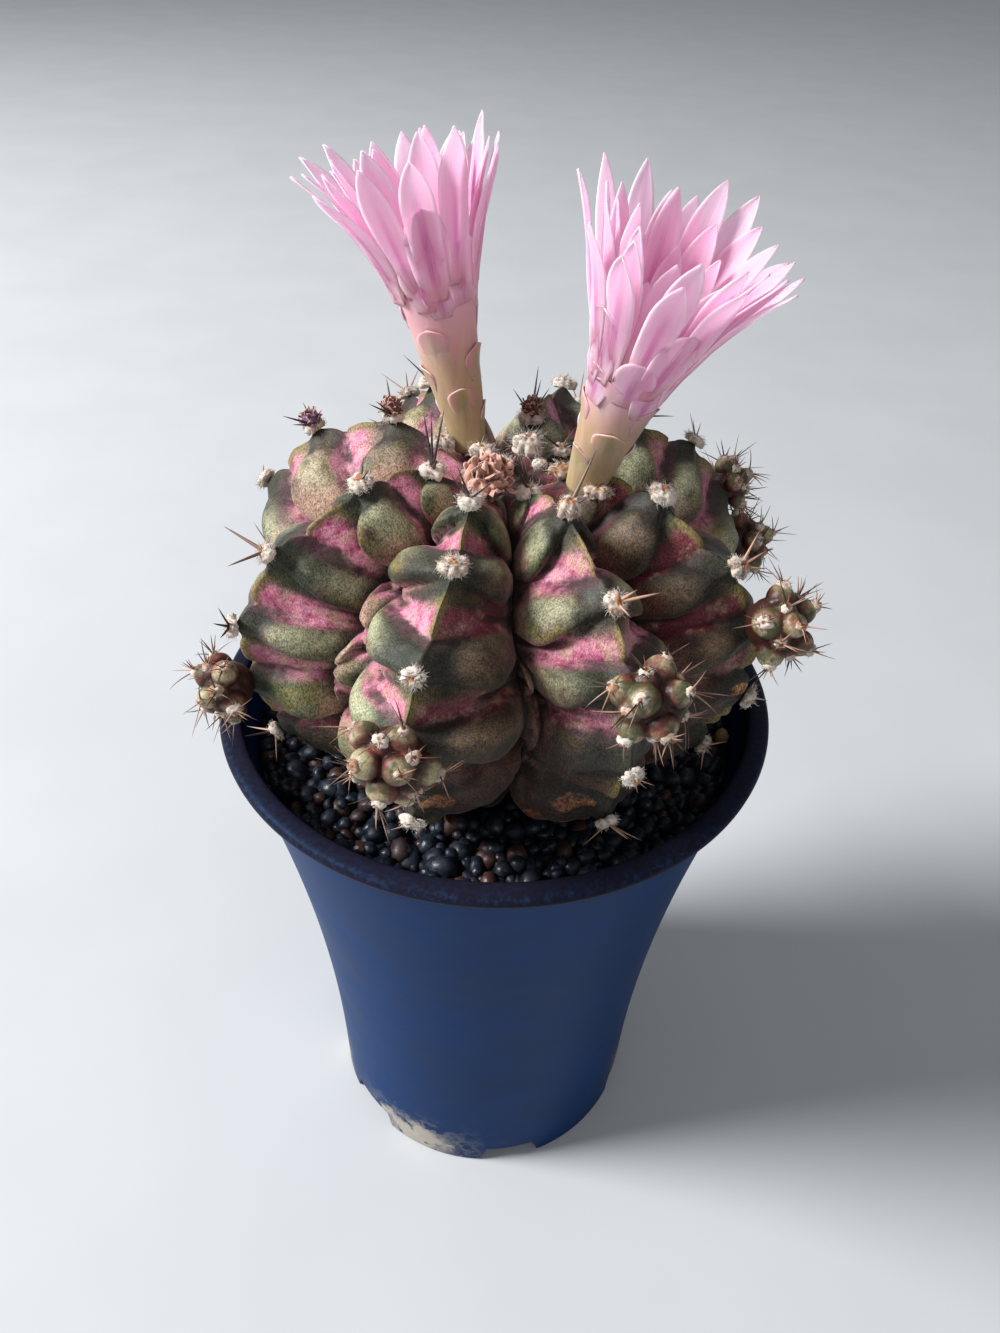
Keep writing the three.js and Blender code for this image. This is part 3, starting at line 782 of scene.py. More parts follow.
def pot_material(pot):
    """Matte dark plastic: fine grain, scratches on the lip, rubbed edges and mineral marks at the foot. The
    lip's upper face is painted darker and the reflections are tinted blue, both painted reflections.
    """
    # Painted reflection: reflections tinted blue, standing in for blue surroundings
    material, nodes, shader = new_material(
        "pot_plastic", Specular_IOR_Level=0.06, Specular_Tint=(0.08, 0.5, 1.0)
    )
    grain = nodes.noise(0.35, 3.0, 0.6)
    cloud = nodes.noise(14, 3.0, 0.55)
    rubbed = nodes.value("rubbed")
    stain = nodes.value("stain")
    scratch = nodes.between(nodes.noise(1.6, 4.0, 0.7, nodes.stretched(1.0, 1.0, 9.0)), 0.56, 0.72)
    base = nodes.mix(nodes.between(cloud, 0.35, 0.7), pot.plastic, toned(pot.plastic, 1.25))
    worn = nodes.times(rubbed, nodes.between(nodes.noise(0.9, 4.0, 0.7), 0.42, 0.62), clamp=True)
    base = nodes.mix(nodes.times(worn, 0.8), base, pot.scuffed)
    faint = nodes.times(scratch, nodes.plus(nodes.times(rubbed, 0.5), 0.05))
    base = nodes.mix(faint, base, pot.scuffed)
    blotch = nodes.plus(nodes.noise(5.5, 5.0, 0.62), nodes.times(grain, 0.12))
    marked = nodes.between(nodes.plus(blotch, nodes.times(stain, 0.42)), 0.78, 0.95)
    ring = nodes.minus(nodes.between(blotch, 0.44, 0.5), nodes.between(blotch, 0.5, 0.62))
    film = nodes.times(nodes.times(ring, stain), 0.5)
    base = nodes.mix(nodes.times(marked, 0.82), base, pot.mineral)
    base = nodes.mix(film, base, pot.mineral)
    # Painted reflection: the lip's upper face darker, except where rubbed
    base = nodes.mix(nodes.times(nodes.value("lip"), nodes.minus(1.0, worn)), base, pot.rim)
    nodes.feed(shader["Base Color"], base)
    rough = nodes.plus(nodes.times(cloud, 0.14), 0.36)
    nodes.feed(shader["Roughness"], nodes.plus(rough, nodes.times(marked, 0.4), clamp=True))
    lump = nodes.bump(nodes.noise(18, 2.0, 0.5), 0.25, 0.8)
    fine = nodes.bump(nodes.minus(grain, nodes.times(faint, 0.6)), 0.22, 0.05, lump)
    nodes.feed(shader["Normal"], nodes.bump(marked, 0.5, 0.08, fine))
    return material


def grit_material(grit):
    """Black granules with a wet gleam: dark stone, rusty grains, dust in the pits and one tan grain."""
    material, nodes, shader = new_material("grit", Specular_IOR_Level=0.4)
    tone = nodes.value("tone")
    grain = nodes.noise(0.5, 4.0, 0.65)
    base = nodes.mix(nodes.between(grain, 0.35, 0.75), grit.stone, toned(grit.stone, 2.6))
    base = nodes.mix(nodes.between(tone, 0.8, 0.95), base, grit.rusty)
    base = nodes.mix(nodes.between(tone, 1.5, 1.6), base, nodes.mix(grain, grit.tan, toned(grit.tan, 0.5)))
    nodes.feed(shader["Base Color"], base)
    nodes.feed(shader["Roughness"], nodes.between(nodes.noise(1.4, 3.0), 0.35, 0.7, 0.3, 0.7))
    nodes.feed(shader["Normal"], nodes.bump(grain, 0.5, 0.12))
    return material


def skin_material(body):
    """Velvety variegated skin. Light hairs lie over a ground that runs from near-black green beside the
    areoles through pale green on the lobes to pink and dark red in the hollows, and brown below. Painted
    shade darkens the flanks turned from the key light, the creases and the skin towards the soil, and
    deepens the red of the hollows."""
    material, nodes, shader = new_material(
        "cactus_skin",
        Specular_IOR_Level=0.3,
        Sheen_Weight=0.08,
        Sheen_Roughness=0.5,
        Subsurface_Weight=0.05,
        Subsurface_Radius=(0.6, 0.35, 0.2),
        Subsurface_Scale=0.0012,
    )
    point = nodes.place()
    flecks = nodes.group(fleck_group(), {"Width": 0.19, "Vector": point})
    patches = nodes.noise(2.6, 4.0, 0.62, point)
    broad = nodes.noise(6.5, 3.0, 0.55, point)

    def reach(name, low, high, spread=0.45, wander=None):
        """A mask of the mesh whose edge wanders with the patches."""
        return nodes.between(nodes.swayed(nodes.value(name), wander or patches, spread), low, high)

    ground = nodes.mix(nodes.between(broad, 0.36, 0.64), body.green, body.brown)
    greener = nodes.between(nodes.noise(4.2, 2.0, 0.5, point), 0.5, 0.62, 0.0, 0.6)
    ground = nodes.mix(greener, ground, body.olive)
    ground = nodes.mix(reach("swell", 0.25, 0.95, 1.3), ground, body.pale)
    ground = nodes.mix(nodes.times(reach("blush", 0.3, 1.0, 0.9), 0.75), ground, body.rose)
    pinks = nodes.mix(nodes.between(patches, 0.4, 0.66), body.pink, body.magenta)
    pinks = nodes.mix(reach("wine_and_shade", 0.1, 0.9, 0.8, broad), pinks, body.wine_and_shade)
    duller = nodes.between(nodes.noise(3.4, 3.0, 0.6, point), 0.48, 0.66, 0.0, 0.8)
    pinks = nodes.mix(duller, pinks, body.rose)
    spotted = nodes.between(nodes.noise(1.3, 4.0, 0.7, point), 0.54, 0.7, 0.0, 0.6)
    pinks = nodes.mix(spotted, pinks, body.brown)
    ground = nodes.mix(reach("hollow", 0.2, 0.95, 0.8), ground, pinks)
    ground = nodes.mix(nodes.times(reach("low", 0.25, 0.9, 0.9), 0.85), ground, body.brown)
    ground = nodes.mix(nodes.times(reach("band", 0.28, 0.85, 0.9), 0.88), ground, body.dark)
    ground = nodes.mix(nodes.times(reach("edge", 0.2, 0.8, 0.6), 0.85), ground, body.olive)
    # Painted shade: near-black in the hollows of the relief and along the valleys
    ground = nodes.mix(nodes.between(nodes.value("crease"), 0.2, 1.0, 0.0, 0.9), ground, body.crease)
    papery = nodes.mix(nodes.between(nodes.noise(0.7, 4.0, 0.7, point), 0.4, 0.62), body.cork, body.brown)
    ground = nodes.mix(reach("cork", 0.42, 0.56, 0.5), ground, papery)
    # Painted shade: the ground darkened to dark brown where the shade mask lies
    painted_shade_colour = nodes.mix(1.0, ground, (0.34, 0.2, 0.19), "MULTIPLY")
    ground = nodes.mix(reach("shade", 0.1, 1.0, 0.6, broad), ground, painted_shade_colour)
    # Fewer light hairs show under the painted shade and on the dark bands
    lit = nodes.between(nodes.plus(nodes.value("shade"), nodes.value("band")), 0.0, 0.9, 0.14, 0.035)
    light = nodes.mix(lit, nodes.mix(1.0, ground, (1.75, 1.7, 1.6), "MULTIPLY"), body.hairs)
    dark = nodes.mix(1.0, ground, (0.52, 0.55, 0.54), "MULTIPLY")
    plain = nodes.between(nodes.value("hollow"), 0.2, 1.0, 1.0, 0.65)
    hairy = nodes.mix(flecks["Flecks"], dark, light)
    nodes.feed(shader["Base Color"], nodes.mix(plain, ground, hairy))
    nodes.feed(shader["Roughness"], nodes.between(patches, 0.3, 0.7, 0.46, 0.64))
    coarse = nodes.bump(nodes.noise(0.9, 3.0, 0.6, point), 0.4, 0.2)
    nodes.feed(shader["Normal"], nodes.bump(flecks["Height"], 0.6, 0.12, coarse))
    return material


def wool_material(wool):
    """Felted wool, cream where it is fresh and tan where it has aged, darkened to brown in its pits as
    painted shade.
    """
    material, nodes, shader = new_material(
        "wool", Roughness=0.9, Specular_IOR_Level=0.15, Subsurface_Weight=0.2, Subsurface_Scale=0.0008
    )
    mottled = nodes.noise(0.6, 3.0, 0.65)
    tone = nodes.swayed(nodes.value("tone"), mottled, 0.9)
    base = nodes.mix(nodes.between(tone, 0.25, 0.95), wool.white, wool.aged)
    # Painted shade in the pits of the cushion
    base = nodes.mix(nodes.between(nodes.value("depth"), 0.1, 0.9, 0.0, 0.6), base, toned(wool.aged, 0.3))
    nodes.feed(shader["Base Color"], base)
    nodes.feed(shader["Normal"], nodes.bump(nodes.noise(0.16, 3.0, 0.7), 0.8, 0.12))
    return material


def spine_material(wool):
    """Horny spines: near-black when young, else tan with a darker tip, with fine lengthwise grain."""
    material, nodes, shader = new_material("spine", Specular_IOR_Level=0.5, Roughness=0.42)
    tone = nodes.value("tone")
    along = nodes.value("along")
    grown = nodes.mix(nodes.between(along, 0.55, 1.0), wool.spine_tan, toned(wool.spine_tan, 0.45))
    grain = nodes.noise(0.25, 3.0, 0.6)
    base = nodes.mix(nodes.between(tone, 0.2, 0.8), wool.spine_dark, grown)
    base = nodes.mix(nodes.between(grain, 0.4, 0.75, 0.0, 0.4), base, toned(wool.spine_tan, 0.5))
    nodes.feed(shader["Base Color"], base)
    nodes.feed(shader["Normal"], nodes.bump(grain, 0.3, 0.03))
    return material


def offset_material(offset):
    """Skin of the offsets: pale tops, green patches and red-brown feet under fine flecks, with painted shade
    in the crevices between the tubercles.
    """
    material, nodes, shader = new_material(
        "offset_skin", Specular_IOR_Level=0.35, Subsurface_Weight=0.1, Subsurface_Scale=0.0012
    )
    flecks = nodes.group(fleck_group(), {"Width": 0.22, "Vector": nodes.place()})
    patches = nodes.noise(1.6, 3.0, 0.6)
    top = nodes.swayed(nodes.value("top"), patches, 0.9)
    base = nodes.mix(nodes.between(top, 0.35, 1.0), offset.brown, offset.pale)
    base = nodes.mix(nodes.between(nodes.noise(2.2, 2.0), 0.48, 0.6, 0.0, 0.8), base, offset.green)
    base = nodes.mix(nodes.between(nodes.noise(3.4, 2.0), 0.54, 0.64, 0.0, 0.6), base, offset.red)
    # Painted shade: darker still in the crevices where the tubercles meet the core
    base = nodes.mix(nodes.between(top, 0.32, 0.1), base, toned(offset.brown, 0.4))
    dark = nodes.mix(1.0, base, (0.6, 0.6, 0.6), "MULTIPLY")
    nodes.feed(shader["Base Color"], nodes.mix(flecks["Flecks"], dark, base))
    nodes.feed(shader["Roughness"], nodes.between(patches, 0.3, 0.7, 0.4, 0.55))
    nodes.feed(shader["Normal"], nodes.bump(flecks["Height"], 0.35, 0.08))
    return material


def petal_material(flower):
    """Thin petals: a deeper stripe down the middle, lengthwise veins, pale edges and a deeper foot, with a
    faint glow of their own colour, painted light standing in for light shining through them.
    """
    material, nodes, shader = new_material(
        "petal",
        Specular_IOR_Level=0.3,
        Roughness=0.5,
        Subsurface_Weight=0.7,
        Subsurface_Radius=(1.0, 0.7, 0.9),
        Subsurface_Scale=0.003,
        # A faint glow: painted light for light shining through the petals
        Emission_Strength=0.1,
    )
    along = nodes.value("along")
    across = nodes.math("ABSOLUTE", nodes.value("across"))
    veins = nodes.add(
        "ShaderNodeCombineXYZ",
        {"X": nodes.times(nodes.value("across"), 9.0), "Y": along, "Z": nodes.value("tone")},
    )
    vein = nodes.add("ShaderNodeTexNoise", {"Vector": veins, "Scale": 1.6, "Detail": 3.0, "Roughness": 0.6})
    stripe = nodes.times(nodes.between(across, 0.42, 0.02), nodes.between(along, 0.95, 0.35))
    stripe = nodes.times(stripe, nodes.between(vein, 0.25, 0.65, 0.5, 1.0))
    base = nodes.mix(nodes.between(across, 0.6, 1.0, 0.0, 0.45), flower.petal, flower.edge)
    deep = nodes.times(stripe, nodes.plus(nodes.value("deep"), 0.35), clamp=True)
    base = nodes.mix(deep, base, flower.stripe)
    foot = nodes.mix(nodes.value("throat"), nodes.mix(0.55, flower.stripe, flower.tube), flower.throat)
    base = nodes.mix(nodes.between(along, 0.36, 0.0, 0.0, 0.85), base, foot)
    base = nodes.mix(nodes.between(vein, 0.5, 0.75, 0.0, 0.3), base, flower.edge)
    nodes.feed(shader["Base Color"], base)
    # Painted light: the petals glow faintly in their own colour
    nodes.feed(shader["Emission Color"], base)
    nodes.feed(shader["Normal"], nodes.bump(vein, 0.35, 0.12))
    return material


def tube_material(flower):
    """Flower tube and its scales: rosy skin, greenish in the middle of each scale and pale at its edge."""
    material, nodes, shader = new_material(
        "flower_tube",
        Specular_IOR_Level=0.35,
        Roughness=0.45,
        Subsurface_Weight=0.2,
        Subsurface_Scale=0.001,
    )
    streak = nodes.noise(1.1, 4.0, 0.6, nodes.stretched(1.0, 1.0, 0.25))
    middle = nodes.value("middle")
    edge = nodes.value("edge")
    deeper = nodes.mix(0.34, flower.tube, flower.stripe)
    base = nodes.mix(nodes.between(streak, 0.35, 0.7), flower.tube, deeper)
    green = nodes.times(middle, nodes.between(streak, 0.3, 0.6, 0.5, 1.0))
    base = nodes.mix(green, base, flower.tube_green)
    base = nodes.mix(nodes.between(edge, 0.8, 1.0, 0.0, 0.75), base, flower.edge)
    rosy = nodes.mix(0.4, flower.petal, flower.tube)
    base = nodes.mix(nodes.between(nodes.value("rise"), 0.5, 0.95, 0.0, 0.9), base, rosy)
    nodes.feed(shader["Base Color"], base)
    nodes.feed(shader["Normal"], nodes.bump(streak, 0.3, 0.15))
    return material


def stamen_material(flower):
    """Cream stamens with grainy yellow anthers."""
    material, nodes, shader = new_material(
        "stamen", Roughness=0.7, Subsurface_Weight=0.2, Subsurface_Scale=0.0006
    )
    grain = nodes.noise(0.3, 3.0)
    tip = nodes.mix(grain, flower.anther, toned(flower.anther, 0.6))
    nodes.feed(shader["Base Color"], nodes.mix(nodes.value("anther"), flower.edge, tip))
    nodes.feed(shader["Normal"], nodes.bump(grain, 0.4, 0.08))
    return material


def dried_material(flower):
    """Papery remains: pinkish brown with pale edges, and darker deep in the folds, as painted shade."""
    material, nodes, shader = new_material("dried_flower", Roughness=0.85, Specular_IOR_Level=0.2)
    crumple = nodes.noise(0.9, 5.0, 0.65)
    height = nodes.swayed(nodes.value("edge"), crumple, 0.6)
    # Painted shade: darker deep between the folds
    base = nodes.mix(nodes.between(height, 0.05, 0.55), toned(flower.dried, 0.35), flower.dried)
    base = nodes.mix(nodes.between(height, 0.62, 1.0, 0.0, 0.6), base, srgb("e0c2b6"))
    nodes.feed(shader["Base Color"], base)
    nodes.feed(shader["Normal"], nodes.bump(crumple, 0.7, 0.3))
    return material


def bud_material():
    """Scaly young bud: purple-brown scales with paler rims."""
    material, nodes, shader = new_material("bud_skin", Roughness=0.5, Specular_IOR_Level=0.35)
    grain = nodes.noise(0.5, 3.0)
    skin = nodes.mix(nodes.value("tone"), srgb("6b3f33"), srgb("6b4a6a"))
    base = nodes.mix(nodes.between(grain, 0.3, 0.7, 0.0, 0.5), skin, srgb("2f1c1c"))
    rims = nodes.between(nodes.value("edge"), 0.6, 1.0, 0.0, 0.8)
    nodes.feed(shader["Base Color"], nodes.mix(rims, base, srgb("d8b3a4")))
    nodes.feed(shader["Normal"], nodes.bump(grain, 0.4, 0.12))
    return material


def wall_radius(z):
    """The pot's outer radius: it flares towards the lip by a power of the height."""
    return BASE_RADIUS + POT_FLARE * (np.maximum(z, 0) / FLARE_HEIGHT) ** FLARE_POWER


def areole_count(rib, polar):
    """How many areoles of the rib lie above a polar angle, evenly in between and 0 at the first one."""
    count = np.zeros(np.broadcast(rib, polar).shape)
    for index, (_, marks) in enumerate(RIBS):
        here = rib == index
        places = np.radians([0, *marks, BODY_END])
        count = np.where(here, np.interp(polar, places, np.arange(-1, len(marks) + 1)), count)
    return count


def crest_radius(polar):
    """Radius of the crests: a flattened oval turned about the axis."""
    return EQUATOR_RADIUS * np.maximum(np.sin(polar), 1e-6) ** ROUNDNESS


def crest_height(polar):
    """Height of the crests at a polar angle."""
    cosine = np.cos(polar)
    return EQUATOR_Z + cosine * np.where(cosine > 0, TOP_HEIGHT, BOTTOM_HEIGHT)


def valley_azimuth(index, polar):
    """Azimuth of the valley after a rib, which winds a little on its way down."""
    here = RIB_AZIMUTH[index]
    span = (RIB_AZIMUTH[(index + 1) % len(RIBS)] - here) % 360
    shift = np.zeros(np.shape(index))
    for after, degrees in VALLEY_SHIFT.items():
        shift = np.where(index == after, degrees, shift)
    return here + span / 2 + shift * ramp(0.4, 0.9, polar) + 2.5 * np.sin(5 * polar + 2 * index)


def valley_gap(index, polar):
    """Share of a flank that a loose fold takes up beside the valley after a rib."""
    gap = np.zeros(np.broadcast(index, polar).shape)
    for after, (start, end, _, spread) in FOLDS.items():
        window = ramp(start, start + 10, np.degrees(polar)) * (1 - ramp(end - 12, end, np.degrees(polar)))
        gap = np.where(index == after, spread * window, gap)
    return gap


def crest_azimuth(rib, polar):
    """Azimuth of a rib's crest, in degrees, which bends a little on some ribs."""
    azimuth = RIB_AZIMUTH[rib] + 0 * polar
    for index, (places, shifts) in BENDS.items():
        bent = np.interp(np.degrees(polar), places, shifts, left=0)
        azimuth = np.where(rib == index, azimuth + bent, azimuth)
    return azimuth


def by_flank(table, rib, offset):
    """The table's number for each point's rib and flank."""
    return np.array(table)[rib, (offset >= 0).astype(int)]


def one_lobe(rib, areole, offset, count):
    """Height, from 0 to 1, of the lobe that runs from an areole across one flank to the valley, with the
    place on it from its middle line. The bump is narrow at the crest, wide at the valley, gentle above and
    steep below."""
    side = np.abs(offset)
    flank = (offset >= 0).astype(int)
    drift = by_flank(DRIFT, rib, offset) + (hashed(rib, areole, flank, 1) - 0.5) * 0.14
    drift = drift + CROWN_DRIFT * (1 - ramp(0.5, 2.5, areole))
    tall = lerp(0.8, 1.12, hashed(rib, areole, flank, 2))
    own = count - areole - drift * side
    round_end = 1 - 0.4 * ramp(0.7, 1.0, side)
    above = lerp(0.34, 0.47, ramp(0.1, 0.9, side)) * round_end
    below = lerp(0.09, 0.38, ramp(0.0, 0.85, side)) * round_end
    up = np.clip(-own / above, 0, 1)
    down = np.clip(own / below, 0, 1)
    bump = np.where(own < 0, (1 - up**2.2) ** 0.9, (1 - down**2.6) ** 0.55)
    return np.where(areole >= 0, bump * tall, 0), own, below


def body_surface(rib, offset, polar):
    """Points of the skin and what shaped them. offset is 0 on a rib's crest and 1 or -1 in the valleys
    beside it. A rounded flank falls from the crest oval to the valley; between the lobes it is hollowed,
    more so towards the valley, which leaves a thin fin on the crest. Lobes sag over the crease below."""
    side = np.abs(offset)
    before = (rib + len(RIBS) - 1) % len(RIBS)
    valley_index = np.where(offset > 0, rib, before)
    edge = valley_azimuth(valley_index, polar)
    crest = crest_azimuth(rib, polar)
    width = (edge - crest + 540) % 360 - 180
    turn = np.radians(crest + side * width)
    warp = np.stack([np.sin(turn), np.cos(turn), 1.3 * np.cos(polar)], -1) * EQUATOR_RADIUS
    count = areole_count(rib, polar) + 0.05 * noise(warp, 7, 11) * ramp(0, 0.3, side)
    gap = valley_gap(valley_index, polar)
    reach = np.clip(side / (1 - gap), 0, 1)
    lobe, phase, below = np.zeros(side.shape), count - np.round(count), np.full(side.shape, 0.4)
    for areole in (np.floor(count), np.floor(count) + 1):
        height, own, low = one_lobe(rib, areole, offset, count)
        taller = height > lobe
        phase = np.where(taller, own, phase)
        below = np.where(taller, low, below)
        lobe = np.where(taller, height, lobe)
    ridge = 0.78 * (1 - reach**2.6) ** 0.6 + 0.22 * (1 - reach)
    ridge += 0.035 * bell(reach - 0.68, 0.2) - 0.05 * bell(reach - 0.24, 0.13)
    depth = 0.3 + 4.1 * ramp(-0.05, 0.7, reach) * (1 - 0.5 * ramp(0.88, 1.0, reach))
    depth = depth + 1.5 * (1 - np.exp(-side / 0.05)) * np.exp(-side / 0.3)
    crease = 1.3 * bell(phase - below - 0.02, 0.055) * ramp(0.25, 0.6, reach)
    relief = depth * (lobe - 1) - crease
    near = count - np.round(count)
    from_middle = (near - 0.4 + 0.5) % 1 - 0.5
    outline = 1.3 * bell(near, 0.15) + 0.4 * bell(near + 0.2, 0.08)
    outline += 0.7 * bell(from_middle, 0.22) - 0.8 * bell(near + 0.33, 0.045)
    outline = outline * np.exp(-side / 0.2)
    across = np.clip((1 - side) / np.maximum(gap, 0.02), 0, 1)
    tall = np.zeros(side.shape)
    for after, (_, _, height, spread) in FOLDS.items():
        tall = np.where(valley_index == after, height / spread, tall)
    wrinkle = 1 + 0.25 * noise(warp, 4, 12)
    fold = np.where(gap > 0.01, tall * gap * (1 - across**2.2) ** 0.6 * wrinkle, 0)
    size_share = ramp(0.1, 0.45, polar)
    valley = lerp(0.67, 0.84, ramp(0.9, 2.5, polar))
    raised = relief * lerp(0.35, 1, size_share) + outline * size_share + fold
    ribbed = valley + (1 - valley) * ridge + raised / EQUATOR_RADIUS
    smooth = ramp(0.03, 0.3, polar) * (1 - ramp(2.62, 2.8, polar))
    share = lerp(CROWN_DIP, 1, ramp(0, math.radians(CROWN_DIP_ANGLE), polar)) * lerp(0.9, ribbed, smooth)
    hanging = np.clip(lobe, 0, 1) * ramp(0.0, 0.42, phase) * ramp(0.1, 0.6, side) * smooth
    shown = polar + LOBE_SAG / EQUATOR_RADIUS * hanging
    rise = (crest_height(shown) - CENTRE_Z) * share
    points = at_azimuth(crest_radius(shown) * share, turn, CENTRE_Z + rise)
    outwards = unit(points - np.array([0, 0, CENTRE_Z]))
    low = ramp(1.5, 2.1, polar)
    wrinkles = 1 - np.abs(noise(points * np.array([1, 1, 0.7]), 3.2, 6))
    rough = 0.34 * noise(points, 5.0, 3) + lerp(0.13, 0.34, low) * noise(points, 2.1, 4)
    rough = rough + 0.07 * noise(points, 1.0, 5) - lerp(0.08, 0.75, low) * wrinkles**4
    points = points + outwards * (rough * smooth)[..., None]
    found = {"side": side, "lobe": lobe, "phase": phase, "near": near, "share": share, "gap": gap}
    found.update(below=below, turn=turn, polar=polar, areole=np.round(count - phase), across=across)
    return points, found


def skin_masks(found, rib, offset):
    """What the skin's colours follow, as masks from 0 to 1 worked out from the relief."""
    side, lobe, phase, near = found["side"], found["lobe"], found["phase"], found["near"]
    flank = (offset >= 0).astype(int)
    tint = hashed(rib, found["areole"], flank, 7)
    other = hashed(rib, found["areole"], flank, 8)
    edge = bell(side, 0.045) * ramp(0.12, 0.35, near % 1) * (1 - ramp(0.6, 0.75, near % 1))
    share = found["share"]
    # Blurring the surface finds its cavities, which get painted shade
    spread = share
    for _ in range(30):
        spread = sum(np.roll(spread, step, way) for step, way in ((1, 1), (-1, 1), (1, 0), (-1, 0))) / 4
    painted_cavity_shade = np.clip((spread - share) * EQUATOR_RADIUS / 1.3, 0, 1)
    polar = np.degrees(found["polar"])
    reach = lerp(0.3, 0.75, other)
    band = bell(side, reach) * ramp(-0.42, -0.28, phase) * (1 - ramp(0.02, 0.16, phase))
    band += lerp(0.1, 0.6, tint) * bell(phase + 0.36, 0.09) * ramp(0.1, 0.35, side)
    band += lerp(0.2, 0.8, other) * bell(phase - 0.75 * found["below"], 0.1) * ramp(0.05, 0.3, side)
    band += 0.8 * bell(side, 0.3) * (1 - ramp(0.12, 0.5, near % 1))
    middle = bell(phase + 0.1, 0.24) * ramp(0.12, 0.4, side) * (1 - 0.6 * ramp(0.8, 1, side))
    bare = 1 - np.clip(lobe, 0, 1)
    wine_and_shade = by_flank(WINE_AND_SHADE, rib, offset)
    in_fold = ramp(0.02, 0.1, found["gap"]) * ramp(1.0, 0.75, found["across"])
    high = lerp(1, ramp(0.15, 0.55, near % 1), bell(side, 0.45))
    azimuth = np.degrees(found["turn"])
    cork = 0.75 * ramp(120, 126, polar) * hashed(rib, found["areole"], 3)
    for middle_azimuth, middle_polar, wide, tall in CORK:
        aside = ((azimuth - middle_azimuth + 180) % 360 - 180) / wide
        cork = np.maximum(cork, np.exp(-(aside**2) - ((polar - middle_polar) / tall) ** 2))
    browning_and_shade = by_flank(BROWNING_AND_SHADE, rib, offset)
    hollow = np.maximum(ramp(0.12, 0.72, bare) * high, in_fold * 0.3)
    hollow = hollow * (1 - 0.7 * ramp(92, 118, polar) * browning_and_shade)
    # Painted shade on the flanks turned from the key light: weaker near the crown except on the listed ribs,
    # and stronger towards the soil
    near_crown = np.where(np.isin(rib, PAINTED_SHADE_RIBS), 1.0, 0.3)
    shade = by_flank(PAINTED_SHADE, rib, offset) * lerp(near_crown, 1, ramp(22, 62, polar))
    shade = np.clip(shade + 0.55 * browning_and_shade * ramp(76, 104, polar), 0, 1)
    rosy = np.isin(rib, ROSY_RIBS) * ramp(90, 60, polar)
    swell = np.clip(middle * lerp(0.55, 1.15, tint), 0, 1) * (1 - 0.75 * ramp(75, 112, polar))
    return {
        "band": np.clip(band, 0, 1) * (1 - in_fold),
        "swell": swell * (1 - 0.35 * rosy),
        "hollow": hollow,
        # More dark red towards the valleys and the soil: partly the skin's own red, partly painted shade
        "wine_and_shade": np.clip(wine_and_shade + 0.25 * ramp(0.3, 0.9, side) + 0.35 * ramp(70, 110, polar), 0, 1),
        "blush": ramp(0.62, 0.95, side) * lerp(0.6, 1.0, other) + 0.25 * ramp(0.2, 0.5, bare) + 0.5 * rosy,
        "edge": edge,
        "low": ramp(70, 112, polar) * browning_and_shade,
        # Painted shade, kept off the crest and lighter in the hollows
        "shade": shade * ramp(0.0, 0.2, side) * (1 - 0.55 * hollow),
        # Painted shade in cavities and along the valleys
        "crease": np.maximum(painted_cavity_shade, 0.55 * ramp(0.9, 1.0, side)),
        "cork": cork,
    }


def build_body(settings):
    """The body's skin: rows of points from the crown down, each with the same columns for every rib, closer
    together on the crests and in the valleys."""
    step = np.linspace(-1, 1, COLUMNS_PER_RIB, endpoint=False)
    offset = step - 0.055 * np.sin(2 * np.pi * np.abs(step)) * np.sign(step)
    polar = np.radians(np.concatenate([np.linspace(3, 150, 184), np.linspace(151.5, BODY_END, 11)]))
    rib_grid = np.tile(np.repeat(np.arange(len(RIBS)), COLUMNS_PER_RIB), (len(polar), 1))
    offset_grid = np.tile(np.tile(offset, len(RIBS)), (len(polar), 1))
    polar_grid = np.tile(polar[:, None], (1, rib_grid.shape[1]))
    points, found = body_surface(rib_grid, offset_grid, polar_grid)
    heap = Heap()
    heap.lathe(points, **skin_masks(found, rib_grid, offset_grid))
    heap.piece("cactus_skin", skin_material(settings), "cactus_skin", ["cactus_body"])
    return points


def areole_frame(rib, polar):
    """An areole's place on its rib's crest, with the outward, downward and sideways directions there."""
    rib, polar = np.asarray(rib), np.asarray(polar, float)
    at = body_surface(rib, np.zeros(polar.shape), polar)[0]
    away = at_azimuth(1, np.radians(crest_azimuth(rib, polar)), 0)
    above, below = polar - 0.02, polar + 0.02
    outward = crest_radius(below) - crest_radius(above)
    upward = crest_height(below) - crest_height(above)
    slope = unit(np.stack([outward, upward], -1))
    up = np.array([0, 0, 1.0])
    facing = -away * slope[..., 1:] + up * slope[..., :1]
    down = away * slope[..., :1] + up * slope[..., 1:]
    return at, facing, down, np.cross(facing, down)


def clock_direction(facing, down, right, lean, clock):
    """Directions that lean from facing by an angle towards a clock hand seen from outside, in degrees."""
    lean, clock = np.radians(lean)[..., None], np.radians(clock)[..., None]
    aside = right * np.sin(clock) - down * np.cos(clock)
    return facing * np.cos(lean) + aside * np.sin(lean)


